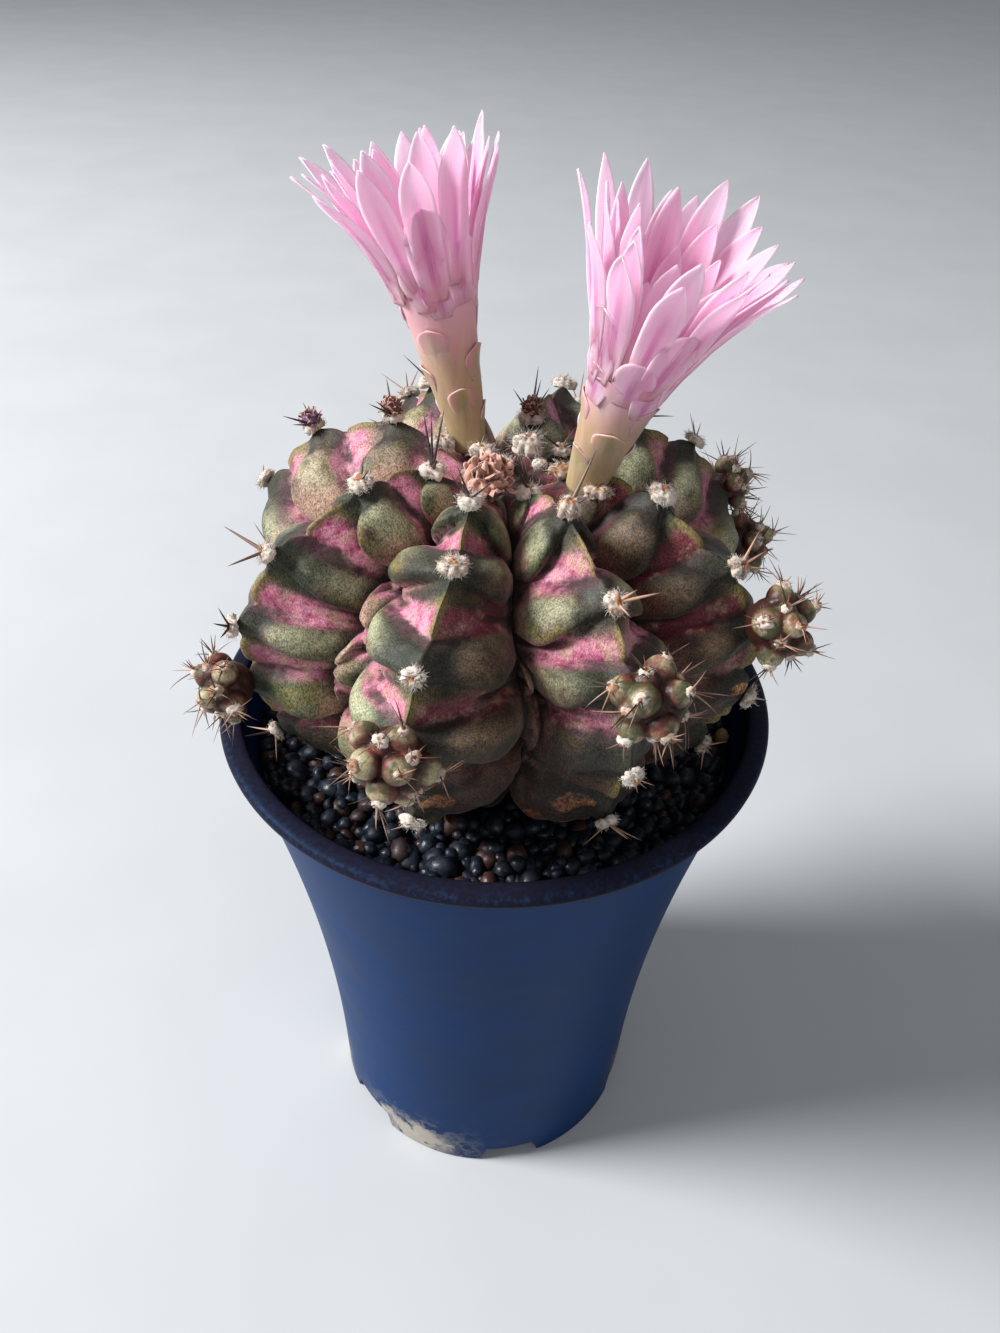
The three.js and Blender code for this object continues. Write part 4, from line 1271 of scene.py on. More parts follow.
def wool_tuft(heap, at, axes, sizes, tone, fibres, draw, detail=1.0, long=1.0):
    """One woolly cushion: half an egg with lumps pushed out along it, browner crumbs in its middle, and
    fibres that curl away from it. axes holds its sideways, upward and outward directions, and sizes its
    half width, half height and rise."""
    half_width = sizes[0]
    rows, columns = int(16 * detail) + 3, int(34 * detail)
    tilt = np.linspace(0.04, 0.66, rows)[:, None] * np.pi
    turn = circle(columns)[None, :]
    local = around_axis(np.sin(tilt), turn, np.cos(tilt)) * sizes
    ball = unit(local)
    seed = int(draw.integers(1, 10000))
    middle = (1 - ramp(0.12, 0.5, np.sin(tilt) + 0 * turn)) * (tilt < np.pi / 2)
    ragged = 0.22 * noise(around_axis(1, turn, 0), 0.35, seed + 4) * np.sin(tilt)
    lumps = 0.2 * noise(local, 0.8, seed) + 0.2 * noise(local, 0.4, seed + 1)
    lumps = lumps + 0.12 * noise(local, 0.2, seed + 2)
    lumps = lumps + middle * (0.4 * noise(local, 0.4, seed + 3) - 0.16) + ragged * half_width
    local = local + ball * (lumps * min(1.0, half_width / 1.6))[..., None]
    colour_share = tone + 0.45 * noise(local, 0.9, seed) + 0.9 * middle
    # depth: how far the lumps sink in, which the wool darkens as painted shade
    heap.lathe(at + local @ axes, tone=colour_share, depth=np.clip(0.3 - 1.8 * lumps, 0, 1))

    lean = np.arccos(draw.uniform(-0.25, 0.97, fibres))
    around = draw.uniform(0, 2 * np.pi, fibres)
    start = around_axis(np.sin(lean), around, np.cos(lean))
    away = unit(start * np.array([1.5, 1.5, 0.55]) + draw.normal(0, 0.3, start.shape))
    start = start * sizes * 0.9
    curl = unit(np.cross(away, draw.normal(0, 1, away.shape)))
    share = np.linspace(0, 1, FIBRE_STEPS)[None, :, None]
    length = draw.uniform(0.3, 1.0, (fibres, 1, 1)) ** 1.5 * half_width * 0.58 * long
    bend = draw.uniform(-0.9, 0.9, (fibres, 1, 1))
    path = start[:, None] + away[:, None] * share * length + curl[:, None] * (bend * length * share**2)
    thick = lerp(0.6, 1.1, draw.random((fibres, 1))) * min(1.0, half_width / 1.4)
    radii = np.linspace(0.05, 0.016, FIBRE_STEPS)[None, :] * thick
    colour_share = draw.uniform(-0.3, 0.45, fibres) + tone
    heap.tubes(at + path @ axes, radii, 3, tone=colour_share, depth=np.zeros(fibres))


def spine_paths(at, direction, length, bow, droop):
    """Paths of spines: straight lines from their roots, bowed a second way by the square of the way."""
    share = np.linspace(0, 1, SPINE_STEPS)[None, :, None]
    start = np.broadcast_to(at, direction.shape) - direction * 0.6
    straight = start[:, None] + direction[:, None] * share * length[:, None, None]
    return straight + droop[:, None] * (bow[:, None, None] * share**2)


def add_spines(heap, at, direction, length, thickness, tone, bow, droop, sides=6):
    """Tapered spines with a slightly swollen root."""
    share = np.linspace(0, 1, SPINE_STEPS)[None, :]
    profile = (1 - share) ** 0.75 * 0.9 + 0.1 + 0.25 * bell(share, 0.08)
    profile[:, -1] = 0.06
    paths = spine_paths(at, direction, length, bow, droop)
    along = np.broadcast_to(share, (len(direction), SPINE_STEPS))
    heap.tubes(paths, thickness[:, None] * profile, sides, along=along, tone=tone)


def free_areoles():
    """Rib and number of every areole above the soil that carries no offset and is clear of the flowers."""
    taken = {(rib, areole) for _, rib, areole, *_ in OFFSETS}
    every = [(rib, number) for rib, (_, marks) in enumerate(RIBS) for number in range(len(marks))]
    feet = np.array([flower[1] for flower in FLOWERS], float)
    kept = []
    for rib, number in every:
        at = areole_frame(rib, math.radians(RIBS[rib][1][number]))[0]
        clear = np.linalg.norm(feet - at, axis=1).min() > 4.4
        if (rib, number) not in taken and clear and at[2] > SOIL_TOP + 2:
            kept.append((rib, number))
    return kept


def build_areoles(settings):
    """Woolly cushions with spines on the crests."""
    draw = np.random.default_rng(AREOLE_SEED)
    wool, spines = Heap(), Heap()
    for rib, number in free_areoles():
        polar = RIBS[rib][1][number]
        at, facing, down, right = areole_frame(rib, math.radians(polar))
        half = settings.pad / MM / 2 * draw.uniform(0.85, 1.12)
        flat = draw.uniform(0.8, 1.05)
        tone = draw.uniform(-0.1, 0.4)
        rise = half * 0.62
        if (rib, number) == AGED_AREOLE:
            tone, rise = 0.5, half * 1.15
        axes = np.stack([right, -down, facing])
        sizes = (half, half * flat, rise)
        wool_tuft(wool, at + facing * 0.3, axes, sizes, tone, settings.fibres, draw)
        count = int(draw.integers(3, 5))
        clock = draw.uniform(-25, 25, count) + np.linspace(-100, 130, count)
        lean = draw.uniform(38, 66, count)
        length = settings.spine / MM * draw.uniform(0.5, 1.05, count)
        thick = draw.uniform(0.16, 0.24, count)
        shade = np.clip(draw.uniform(-0.2, 0.5, count) + 0.5 * ramp(30, 70, polar), 0, 1)
        bow = length * draw.uniform(-0.04, 0.12, count)
        if (rib, number) in SPINES:
            seen, thickness, share = SPINES[rib, number]
            clock, lean, length = (np.array(column, float) for column in zip(*seen))
            thick = thickness * draw.uniform(0.85, 1.15, len(seen))
            shade = np.clip(share + draw.uniform(-0.15, 0.15, len(seen)), 0, 1)
            bow = length * draw.uniform(-0.03, 0.05, len(seen))
        direction = clock_direction(facing, down, right, lean, clock)
        droop = np.broadcast_to(-facing, direction.shape)
        add_spines(spines, at + facing * 0.6, direction, length, thick, shade, bow, droop)
    wool.piece("areole_wool", wool_material(settings))
    spines.piece("areole_spines", spine_material(settings))


def leaning(axes, tilt, around):
    """Directions that lean from the last of three axes by one angle, towards another angle round it."""
    side, other, axis = axes
    tilt, around = np.asarray(tilt)[..., None], np.asarray(around)[..., None]
    return axis * np.cos(tilt) + (side * np.cos(around) + other * np.sin(around)) * np.sin(tilt)


def offset_tips(index, axes, small):
    """Directions of an offset's tubercles: the two rings of the solids, then five smaller ones between."""
    draw = steady_random(OFFSET_SEED + index)
    tips = []
    for count, lean, start in ((5, 82, 0), (3, 38, 25)):
        for i in range(count):
            around = math.radians(start + 360 * i / count + draw(-8, 8))
            tips.append(leaning(axes, math.radians(lean + draw(-6, 6)), around))
            # Four more numbers, as the solids draw them
            for _ in range(4):
                draw()
    for i in range(5):
        around = math.radians(36 + 72 * i + small.uniform(-9, 9))
        tips.append(leaning(axes, math.radians(small.uniform(58, 66)), around))
    return np.array(tips)


def dress_tubercle(heaps, place, tip, down, small):
    """Wool and spines on the tip of one tubercle."""
    across = unit(np.cross(tip, down + 0.01))
    lower = np.cross(across, tip)
    half = small.uniform(0.8, 1.15)
    axes = np.stack([across, -lower, tip])
    sizes = (half, half * 0.8, half * 0.7)
    wool_tuft(heaps["wool"], place, axes, sizes, small.uniform(0.0, 0.7), OFFSET_FIBRES, small, 0.55)
    count = int(small.integers(4, 8))
    lean = small.uniform(15, 66, count)
    clock = small.uniform(0, 360, count)
    direction = clock_direction(tip, lower, across, lean, clock)
    length = small.uniform(2.8, 6.2, count)
    thick = small.uniform(0.11, 0.17, count)
    shade = small.uniform(0.1, 0.9, count)
    bow = length * small.uniform(0, 0.3, count)
    droop = np.broadcast_to(-tip, direction.shape)
    add_spines(heaps["spines"], place, direction, length, thick, shade, bow, droop, 5)


def build_offset(heaps, index):
    """One offset: round tubercles stand out of a core all round. Along each ray from its middle, the surface
    is where the ray leaves the last of the balls that make the core and the tubercles, blended softly."""
    name, rib, areole, radius, lift, shift = OFFSETS[index]
    at, facing, down, _ = areole_frame(rib, math.radians(RIBS[rib][1][areole]))
    axis = unit(facing - down * math.sin(math.radians(lift)))
    centre = at + axis * radius * 0.75 + np.array(shift)
    side = unit(np.cross(axis, down))
    axes = (side, np.cross(axis, side), axis)
    small = np.random.default_rng(index)
    tips = offset_tips(index, axes, small)
    reach = radius * np.concatenate([small.uniform(1.42, 1.62, 8), small.uniform(1.2, 1.36, 5)])
    ball = radius * np.concatenate([small.uniform(0.44, 0.54, 8), small.uniform(0.34, 0.42, 5)])
    ray = leaning(axes, np.linspace(0.02, 0.98, 72)[:, None] * np.pi, circle(108)[None, :])
    cosine = np.clip(ray @ tips.T, -1, 1)
    middle = reach - ball
    inside = ball**2 - middle**2 * (1 - cosine**2)
    leaves = middle * cosine + np.sqrt(np.maximum(inside, 0))
    outer = np.where((inside > 0) & (cosine > 0), leaves, 0).max(-1)
    foot = radius * 1.02
    surface = soft_max(foot, outer, 0.25 * radius) - 0.06 * radius
    points = centre + ray * surface[..., None]
    surface = surface + 0.14 * noise(points, 1.7, 60 + index) + 0.05 * noise(points, 0.8, 70 + index)
    heap = Heap()
    heap.lathe(centre + ray * surface[..., None], top=np.clip((outer - foot) / (radius * 0.5), 0, 1))
    heap.piece(name + "_skin", heaps["material"], "offset_skin", [name])
    for tip, far in zip(tips, reach):
        if tip @ facing >= -0.25:
            dress_tubercle(heaps, centre + tip * (far - 0.25), tip, down, small)


def turned_onto(axis):
    """The rotation that takes +Z straight to a direction, as rows to multiply points by from the left."""
    up = np.array([0, 0, 1.0])
    spin = np.cross(up, axis)
    cross = np.array([[0, -spin[2], spin[1]], [spin[2], 0, -spin[0]], [-spin[1], spin[0], 0]])
    return (np.eye(3) + cross + cross @ cross / (1 + up @ axis)).T


def flower_placer(flower):
    """A function that takes points of the upright flower to its place on the crown."""
    _, foot, lean, azimuth, turn, scale = flower
    lean, azimuth, turn = math.radians(lean), math.radians(azimuth), math.radians(turn)
    cosine, sine = math.cos(turn), math.sin(turn)
    spin = np.array([[cosine, sine, 0], [-sine, cosine, 0], [0, 0, 1]])
    onto = turned_onto(at_azimuth(math.sin(lean), azimuth, math.cos(lean)))
    return lambda points: (points @ spin * scale) @ onto + np.array(foot)


def blade(height, radius, length, width, opening, blunt, around, cup, recurve, wave, shape=(24, 11)):
    """A petal or scale beside the flower's axis. Its middle line starts at a height and radius and opens
    outwards from the first to the second angle; its width swells from the root and closes in a round or
    pointed tip; across, it bends round the axis, with a faint keel and a wavy edge."""
    rows, columns = shape
    u = np.linspace(0, 1, rows)[:, None]
    v = np.linspace(-1, 1, columns)[None, :]
    angle = np.radians(lerp(opening[0], opening[1], u) + recurve * u**3)
    step = length / (rows - 1)
    r = radius + np.concatenate([[[0]], np.cumsum(np.sin(angle[:-1]), axis=0)]) * step
    z = height + np.concatenate([[[0]], np.cumsum(np.cos(angle[:-1]), axis=0)]) * step
    swell = 0.55 + 0.45 * np.sin(np.pi / 2 * np.clip(u / 0.66, 0, 1))
    start, power, root = (0.5, 2.6, 0.55) if blunt else (0.68, 1.8, 0.85)
    close = (1 - np.clip((u - start) / (1 - start), 0, 1) ** power) ** root
    half = width / 2 * swell * np.maximum(close, 0.03)
    bend = np.maximum(r, 1.5) / cup
    lateral = v * half / bend
    sideways = bend * np.sin(lateral)
    inward = bend * (1 - np.cos(lateral)) - 0.12 * bell(v, 0.16) * np.sin(np.pi * u)
    inward = inward + wave * np.sin(7 * u + 3 * around) * np.abs(v) ** 3
    out = r - np.cos(angle) * inward
    rise = z + np.sin(angle) * inward
    x = out * math.cos(around) - sideways * math.sin(around)
    y = out * math.sin(around) + sideways * math.cos(around)
    return np.stack([x, y, rise], -1), u + 0 * v, v + 0 * u


def thicken(made, thickness):
    """Gives an open sheet its thickness."""
    solid = made.modifiers.new("thickness", "SOLIDIFY")
    solid.thickness = thickness
    solid.offset = 0
    solid.use_rim = True


def both_sides(back, front):
    """Rows that run over the back of a sheet and return over its front, from its tip to its root."""
    return np.concatenate([back[:, ::-1], front], axis=1)[::-1]


def tube_wall(index, height):
    """A flower tube's outer radius at a height."""
    heights, radii = np.array(TUBE_WALL).T
    return np.interp(height, heights, radii) * FUNNELS[index][1]


def add_petals(petals, place, index):
    """The whorls of petals. The pointed ones curl and open unevenly, and more on the outward side."""
    draw = steady_random(FLOWER_SEED + index)
    top, _, spacing, longer = FUNNELS[index]
    for level, (count, drop, outside, length, width, opening, blunt) in enumerate(WHORLS):
        height = top - drop * (spacing if blunt else 1)
        radius = float(tube_wall(index, height)) + outside
        length = length * (1 if blunt else longer)
        cup = 1.0 if blunt else 0.9
        for i in range(count):
            around = (i + 0.37 * level + draw(-0.16, 0.16)) * 2 * math.pi / count
            sway = PETAL_SWAY * max(0.0, math.cos(around - math.pi * (1 - index))) * (not blunt)
            spread = (opening[0], opening[1] + draw(-4, 4) + sway)
            long = length * draw(0.88, 1.06)
            tone = float(hashed(index, level, i, 5))
            curl = 16 * (tone - 0.3) * (not blunt)
            sheet, along, across = blade(height, radius, long, width, spread, blunt, around, cup, curl, 0.3)
            look = {"tone": tone, "deep": 0.3 + 0.5 * tone, "throat": float(level >= CREAM_WHORL)}
            petals.sheet(place(sheet), along=along, across=across, **look)


def add_tube(tube, place, index):
    """The tube with the funnel inside its end, and the scales round it."""
    top, girth, _, _ = FUNNELS[index]
    foot = TUBE_WALL[0][0]
    level = np.linspace(foot, top, 40)[:, None]
    turn = circle(48)[None, :]
    wavy = tube_wall(index, level) + 0.06 * np.sin(5 * turn + 0.35 * level) * ramp(0, 6, level)
    outer = around_axis(wavy, turn, level)[::-1]
    inner_level = np.linspace(top - 8.5, top, 12)[:, None]
    inner_radii = [1.6, tube_wall(index, top - 3.5) - 1.1, tube_wall(index, top) - 0.4]
    inner = np.interp(inner_level, [top - 8.5, top - 3.5, top], inner_radii)
    throat = around_axis(inner, turn, inner_level)
    rise = np.concatenate([np.ones(12), (level[::-1, 0] - foot) / (top - foot)])[:, None] + 0 * turn
    tube.lathe(place(np.concatenate([throat, outer])), middle=0.8 * (1 - rise), edge=0 * rise, rise=rise)
    for i in range(SCALES):
        share = i / (SCALES - 1)
        height = lerp(1.0, top - 6.0, share)
        radius = float(tube_wall(index, height)) - 0.1
        long = lerp(4.6, 6.8, share)
        broad = lerp(4.2, 5.4, share) * girth
        around = i * SCALE_TURN + index
        made = blade(height, radius, long, broad, (9, 19), False, around, 1.0, 5, 0.08, (14, 11))
        sheet, along, across = made
        edge = np.maximum(ramp(0.8, 1.0, np.abs(across)), ramp(0.88, 1.0, along)) * ramp(0.1, 0.5, along)
        middle = (1 - ramp(0.05, 0.75, np.abs(across))) * (1 - share * 0.6) * ramp(0.0, 0.45, along)
        skin = sheet - 0.22 * unit(sheet * np.array([1, 1, 0]))
        rise = (height - foot + long * along) / (top - foot)
        look = {"middle": middle, "edge": edge, "rise": rise}
        look = {key: both_sides(value, value) for key, value in look.items()}
        tube.lathe(place(both_sides(skin, sheet)), **look)


def add_stamens(stamens, place, index):
    """Stamens that spread from the throat, each with an anther, and the lobed style between them."""
    draw = np.random.default_rng(STAMEN_SEED + index)
    top = FUNNELS[index][0]
    around = draw.uniform(0, 2 * np.pi, STAMENS)
    lean = np.radians(draw.uniform(6, 17, STAMENS))
    root = around_axis(2.0, around, top - 6.5)
    away = around_axis(np.sin(lean), around, np.cos(lean))
    length = draw.uniform(7.5, 13.5, STAMENS)
    share = np.linspace(0, 1, 6)[None, :, None]
    paths = root[:, None] + away[:, None] * share * length[:, None, None]
    stamens.tubes(place(paths), np.full((STAMENS, 6), 0.13), 4, anther=np.zeros(STAMENS))
    heads = (root + away * length[:, None])[:, None]
    ends = heads + np.linspace(-0.5, 0.5, 4)[None, :, None] * unit(draw.normal(0, 1, (STAMENS, 1, 3)))
    stamens.tubes(place(ends), np.array([[0.2, 0.36, 0.36, 0.2]]), 6, anther=np.ones(STAMENS))
    style = np.array([[[0, 0, top - 8.1], [0, 0, top - 1.5], [0, 0, top + 4.5]]], float)
    stamens.tubes(place(style), np.array([[0.75, 0.6, 0.7]]), 10, anther=np.zeros(1))
    tips = around_axis(1, circle(8), 0.4)
    share = np.linspace(0, 1, 4)[None, :, None]
    lobes = np.array([0, 0, top + 4.3]) + tips[:, None] * share * 1.5 + np.array([0, 0, 0.9]) * share**2
    stamens.tubes(place(lobes), np.array([[0.3, 0.34, 0.3, 0.15]]), 6, anther=np.full(8, 0.6))


def build_flower(index, settings):
    """One flower: the petals, the tube with its scales, and the stamens round the style."""
    name = FLOWERS[index][0]
    place = flower_placer(FLOWERS[index])
    petals, tube, stamens = Heap(), Heap(), Heap()
    add_petals(petals, place, index)
    made = petals.piece(name + "_petal_blades", petal_material(settings), "petals", [name + "_petals"])
    thicken(made, settings.petal_thickness)
    add_tube(tube, place, index)
    tube.piece(name + "_tube_skin", tube_material(settings), "flower_tube", [name + "_tube"])
    add_stamens(stamens, place, index)
    stamens.piece(name + "_stamen_threads", stamen_material(settings), "stamens", [name + "_stamens"])


def build_growth(growth, material, slot, flakes, draw, tone=0.0, crumple=1.0):
    """A bud or dried bloom: an egg-shaped core under curved, crumpled flakes that stand out from it."""
    name, rib, areole, radius, rise = growth
    at, facing, down, right = areole_frame(rib, math.radians(RIBS[rib][1][areole]))
    axes = np.stack([right, -down, facing])
    centre = at + facing * rise
    heap = Heap()
    rows, columns = (90, 130) if radius > 2 else (46, 66)
    tilt = np.linspace(0.01, 0.99, rows)[:, None] * np.pi
    turn = circle(columns)[None, :]
    core = around_axis(np.sin(tilt), turn, 1.05 * np.cos(tilt))
    bent = core + 0.16 * np.stack([noise(core, 0.6, areole + k) for k in range(3)], -1)
    folds = 0.62 * (1 - np.abs(noise(bent, 0.62, 21))) ** 2
    folds = folds + 0.38 * (1 - np.abs(noise(bent, 0.27, 22))) ** 2
    core = core * (radius * lerp(0.92, 0.62 + 0.5 * folds, crumple))[..., None]
    core[..., 2] = np.where(core[..., 2] < 0, core[..., 2] * rise / radius * 1.2, core[..., 2])
    # edge is high on the ridges and low deep between the folds; the dried bloom is painted darker where it
    # is low, as shade
    edge = ramp(0.35, 0.95, folds) * 0.95
    heap.lathe(centre + core @ axes, edge=edge, tone=np.full((rows, columns), tone))
    u = np.linspace(0, 1, 10)[:, None]
    v = np.linspace(-1, 1, 10)[None, :]
    for i in range(flakes):
        share = (i + 0.5) / flakes
        lean = math.acos(1 - 1.6 * share)
        around = i * SCALE_TURN + draw.uniform(-0.3, 0.3)
        out = around_axis(math.sin(lean), around, math.cos(lean))
        upward = unit(np.array([0, 0, 1.0]) - out * out[2] + draw.normal(0, 0.25 * crumple + 0.05, 3))
        stand = math.radians(draw.uniform(18, 62) if crumple > 0.5 else draw.uniform(62, 80))
        along = unit(out * math.cos(stand) + upward * math.sin(stand))
        wide = unit(np.cross(along, out))
        inner = np.cross(wide, along)
        length = radius * draw.uniform(0.5, 0.85) * lerp(1.2, 0.62, crumple)
        swell = np.sqrt(np.maximum(1 - (1.7 * u - 0.75) ** 2, 0.03))
        half = radius * draw.uniform(0.24, 0.4) * lerp(1.2, 0.66, crumple) * swell
        bend = draw.uniform(-0.5, 0.9)
        sheet = out * radius * (0.72 + 0.06 * crumple) + along * (u * length)[..., None]
        sheet = sheet + wide * (v * half)[..., None]
        sheet = sheet + inner * (bend * radius * 0.3 * (v**2 * u + u**2 * 0.5))[..., None]
        ruffle = np.stack([noise(sheet, radius * 0.2, 3 * i + k) for k in range(3)], -1)
        sheet = sheet + ruffle * radius * (0.13 * crumple + 0.02) * (0.3 + u)[..., None]
        edge = np.maximum(np.abs(v), u)
        heap.sheet(centre + sheet @ axes, edge=edge, tone=np.full(edge.shape, tone))
    made = heap.piece(name + "_flakes", material, slot, [name])
    thicken(made, 0.1 * MM)


def pot_profile(settings):
    """The pot's outline from the inside out: rows of radius, height and the share that a notch lifts."""
    rim, height, wall = settings.rim_radius / MM, settings.height / MM, settings.wall / MM
    foot = [(24.0, 0, 0), (NOTCH_INNER - 0.1, 0, 0), (NOTCH_INNER + 0.1, 0, 1), (29.0, 0, 1)]
    foot += [(31.2, 0, 1), (31.8, 0.15, 1)]
    foot += [(float(wall_radius(z)), z, 1) for z in (0.5, 1.2, 2, 3, 4, 5, 6.5)]
    side = [(float(wall_radius(z)), z, 0) for z in np.linspace(8, height - 3.2, 44)]
    side.append((wall_radius(height - 2.7) + 0.1, height - 2.7, 0))
    lip = [(rim - within, height - below, 0) for within, below in LIP]
    inside = [(float(wall_radius(z)) - wall, z, 0) for z in np.linspace(height - 1.6, POT_FLOOR_TOP + 1, 30)]
    inside += [(wall_radius(POT_FLOOR_TOP) - wall - 0.5, POT_FLOOR_TOP, 0), (6.0, POT_FLOOR_TOP, 0)]
    return np.array(foot + side + lip + inside, float)[::-1]


def build_pot(settings):
    """The pot: its profile turned about the axis, with the foot lifted over the drain notches."""
    rim, height = settings.rim_radius / MM, settings.height / MM
    profile = pot_profile(settings)
    turn = np.radians(np.arange(0, 360, 1.0))
    around = (np.degrees(turn) - NOTCH_AZIMUTH + 180 / NOTCHES) % (360 / NOTCHES) - 180 / NOTCHES
    notch = NOTCH_HEIGHT * (1 - ramp(NOTCH_HALF_ANGLE - 1.6, NOTCH_HALF_ANGLE + 0.4, np.abs(around)))
    r, z, lifted = profile[:, :1], profile[:, 1:2], profile[:, 2:]
    z = z + lifted * notch[None, :] * (1 - z / 6.6)
    points = at_azimuth(r, turn, z)
    rubbed = bell(z - height + 0.5, 0.7) * ramp(rim - 1.6, rim - 0.4, r)
    rubbed = rubbed + 0.35 * bell(z - height, 0.5) + 0.7 * bell(z, 0.8) * ramp(31, 32, r)
    degrees = np.degrees(turn)[None, :]
    stain = np.zeros(points.shape[:2])
    for azimuth, spread, top, strength in STAINS:
        away = (degrees - azimuth + 180) % 360 - 180
        stain = stain + strength * bell(away, spread) * (1 - ramp(top * 0.35, top, z)) * ramp(31.5, 32, r)
    heap = Heap()
    heap.lathe(
        points,
        rubbed=np.clip(rubbed, 0, 1) * settings.wear * 2,
        stain=np.clip(stain, 0, 1),
        # lip: where the painted dark reflection goes
        lip=ramp(height - 3.4, height - 2.2, z),
    )
    heap.piece("pot_shell", pot_material(settings), "pot_plastic", ["pot"])


def add_soil(heap):
    """The soil under the grains: a lumpy top, the side along the pot's wall and the floor."""
    floor = POT_FLOOR_TOP + 0.4
    turn = circle(160)[None, :]
    across = np.linspace(1, float(wall_radius(SOIL_TOP)) - SOIL_GAP, 60)[:, None]
    surface = around_axis(across, turn, SOIL_TOP - 1.6)
    surface[..., 2] += 0.7 * noise(surface, 2.4, 1) + 0.3 * noise(surface, 1.1, 2)
    heights = np.array([96, 90, 78, 56, 30, 12, floor])[:, None]
    side = around_axis(wall_radius(heights) - SOIL_GAP, turn, heights)
    heap.lathe(np.concatenate([surface, side, around_axis(3, turn, floor)]), tone=0.0)


def grain_places(settings, body_points, draw):
    """Middles and half sizes of the grains, spread evenly from the plant to the pot's wall by the golden
    angle and then shaken, with the number of the light one."""
    count = settings.count
    inner, outer = 18.0, float(wall_radius(SOIL_TOP)) - SOIL_GAP
    number = np.arange(count)
    spread = inner**2 + ((outer - 0.9) ** 2 - inner**2) * (number + 0.5) / count
    golden = math.pi * (3 - math.sqrt(5))
    grain = settings.grain / MM / 2 * np.exp(draw.normal(0, 0.2, count))
    flat = around_axis(np.sqrt(spread), number * golden, 0)[:, :2] + draw.normal(0, 0.45, (count, 2))
    limit = outer - grain * 0.85
    flat = flat * np.minimum(1, limit / np.linalg.norm(flat, axis=1))[:, None]
    row = np.argmin(np.abs(body_points[:, :, 2] - SOIL_TOP - 1), axis=0)
    edge = body_points[row, np.arange(body_points.shape[1])]
    edge_angle = np.arctan2(edge[:, 1], edge[:, 0])
    order = np.argsort(edge_angle)
    edge_radius = np.hypot(edge[:, 0], edge[:, 1])[order]
    plant = np.interp(np.arctan2(flat[:, 1], flat[:, 0]), edge_angle[order], edge_radius)
    keep = np.linalg.norm(flat, axis=1) > plant + grain * 0.35
    flat, grain = flat[keep], grain[keep]
    height = SOIL_TOP - 0.9 + draw.uniform(-0.9, 1.1, len(flat))
    light = np.argmin(np.linalg.norm(flat - np.array(TAN_GRAIN), axis=1))
    flat[light], grain[light], height[light] = TAN_GRAIN, TAN_GRAIN_RADIUS, SOIL_TOP + 0.6
    return np.concatenate([flat, height[:, None]], 1), grain, light


def cut_balls(count, draw):
    """Points of balls cut by random planes and turned every way, and the faces that each has."""
    ends = (-1.0, 0.0, 1.0)
    cube = np.array([(x, y, z) for x in ends for y in ends for z in ends if any((x, y, z))])
    ball = unit(cube)
    normals = unit(draw.normal(0, 1, (count, 7, 3)))
    cuts = draw.uniform(0.62, 0.9, (count, 7))
    facing = np.einsum("vk,npk->nvp", ball, normals)
    reach = np.where(facing > 0.05, cuts[:, None, :] / np.maximum(facing, 0.05), 9).min(-1)
    shape = ball[None] * np.minimum(reach, 1.0)[..., None] * draw.uniform(0.75, 1.15, (count, 1, 3))
    spin = np.linalg.qr(draw.normal(0, 1, (count, 3, 3)))[0]
    spin = spin * np.sign(np.linalg.det(spin))[:, None, None]
    return np.einsum("nvk,nkj->nvj", shape, spin), cube_faces(cube)


def build_grit(settings, body_points):
    """Soil with loose grit: a lumpy filled cylinder, and grains that are balls cut by random planes."""
    draw = np.random.default_rng(GRIT_SEED)
    heap = Heap()
    add_soil(heap)
    places, grain, light = grain_places(settings, body_points, draw)
    shapes, faces = cut_balls(len(places), draw)
    grains = shapes * grain[:, None, None] + places[:, None]
    count, corners = grains.shape[:2]
    tones = draw.random(count)
    tones[light] = 2
    shift = (np.arange(count) * corners)[:, None, None]
    faces = (faces[None] + shift).reshape(-1, 4)
    heap.add(grains.reshape(-1, 3), [faces], tone=np.repeat(tones, corners))
    heap.piece("grit_bed", grit_material(settings), "grit", ["soil"])


def cube_faces(corners):
    """The quads of a cube whose surface is two squares to a side, found by their corners' places."""
    index = {tuple(corner): i for i, corner in enumerate(corners)}
    quads = []
    for axis in range(3):
        for sign in (-1, 1):
            for a in (-1, 0):
                for b in (-1, 0):
                    quad = []
                    for da, db in ((0, 0), (1, 0), (1, 1), (0, 1)):
                        point = [0.0, 0.0, 0.0]
                        point[axis] = float(sign)
                        point[(axis + 1) % 3] = float(a + da)
                        point[(axis + 2) % 3] = float(b + db)
                        quad.append(index[tuple(point)])
                    quads.append(quad if sign > 0 else quad[::-1])
    return np.array(quads)


def build_crown_wool(settings):
    """White wool that fills the middle of the crown and lies round the flowers' feet."""
    draw = np.random.default_rng(CROWN_SEED)
    heap = Heap()
    for at, wide, deep, rise, tone, long in CROWN_TUFTS:
        sizes = (wide, deep, rise)
        wool_tuft(heap, np.array(at), np.eye(3), sizes, tone, CROWN_FIBRES, draw, 1.2, long)
    heap.piece("crown_wool", wool_material(settings))


class PLANT_OT_pot(bpy.types.Operator):
    """Builds the pot"""

    bl_idname = "plant.pot"
    bl_label = "Pot"

    def execute(self, context):
        build_pot(context.scene.cactus_pot)
        return {"FINISHED"}


class PLANT_OT_body(bpy.types.Operator):
    """Builds the ribbed body and the grit that it stands in"""

    bl_idname = "plant.body"
    bl_label = "Body and grit"

    def execute(self, context):
        points = build_body(context.scene.cactus_body)
        build_grit(context.scene.cactus_grit, points)
        return {"FINISHED"}


class PLANT_OT_areoles(bpy.types.Operator):
    """Builds the woolly areoles, their spines and the wool on the crown"""

    bl_idname = "plant.areoles"
    bl_label = "Areoles and spines"

    def execute(self, context):
        build_areoles(context.scene.cactus_wool)
        build_crown_wool(context.scene.cactus_wool)
        return {"FINISHED"}


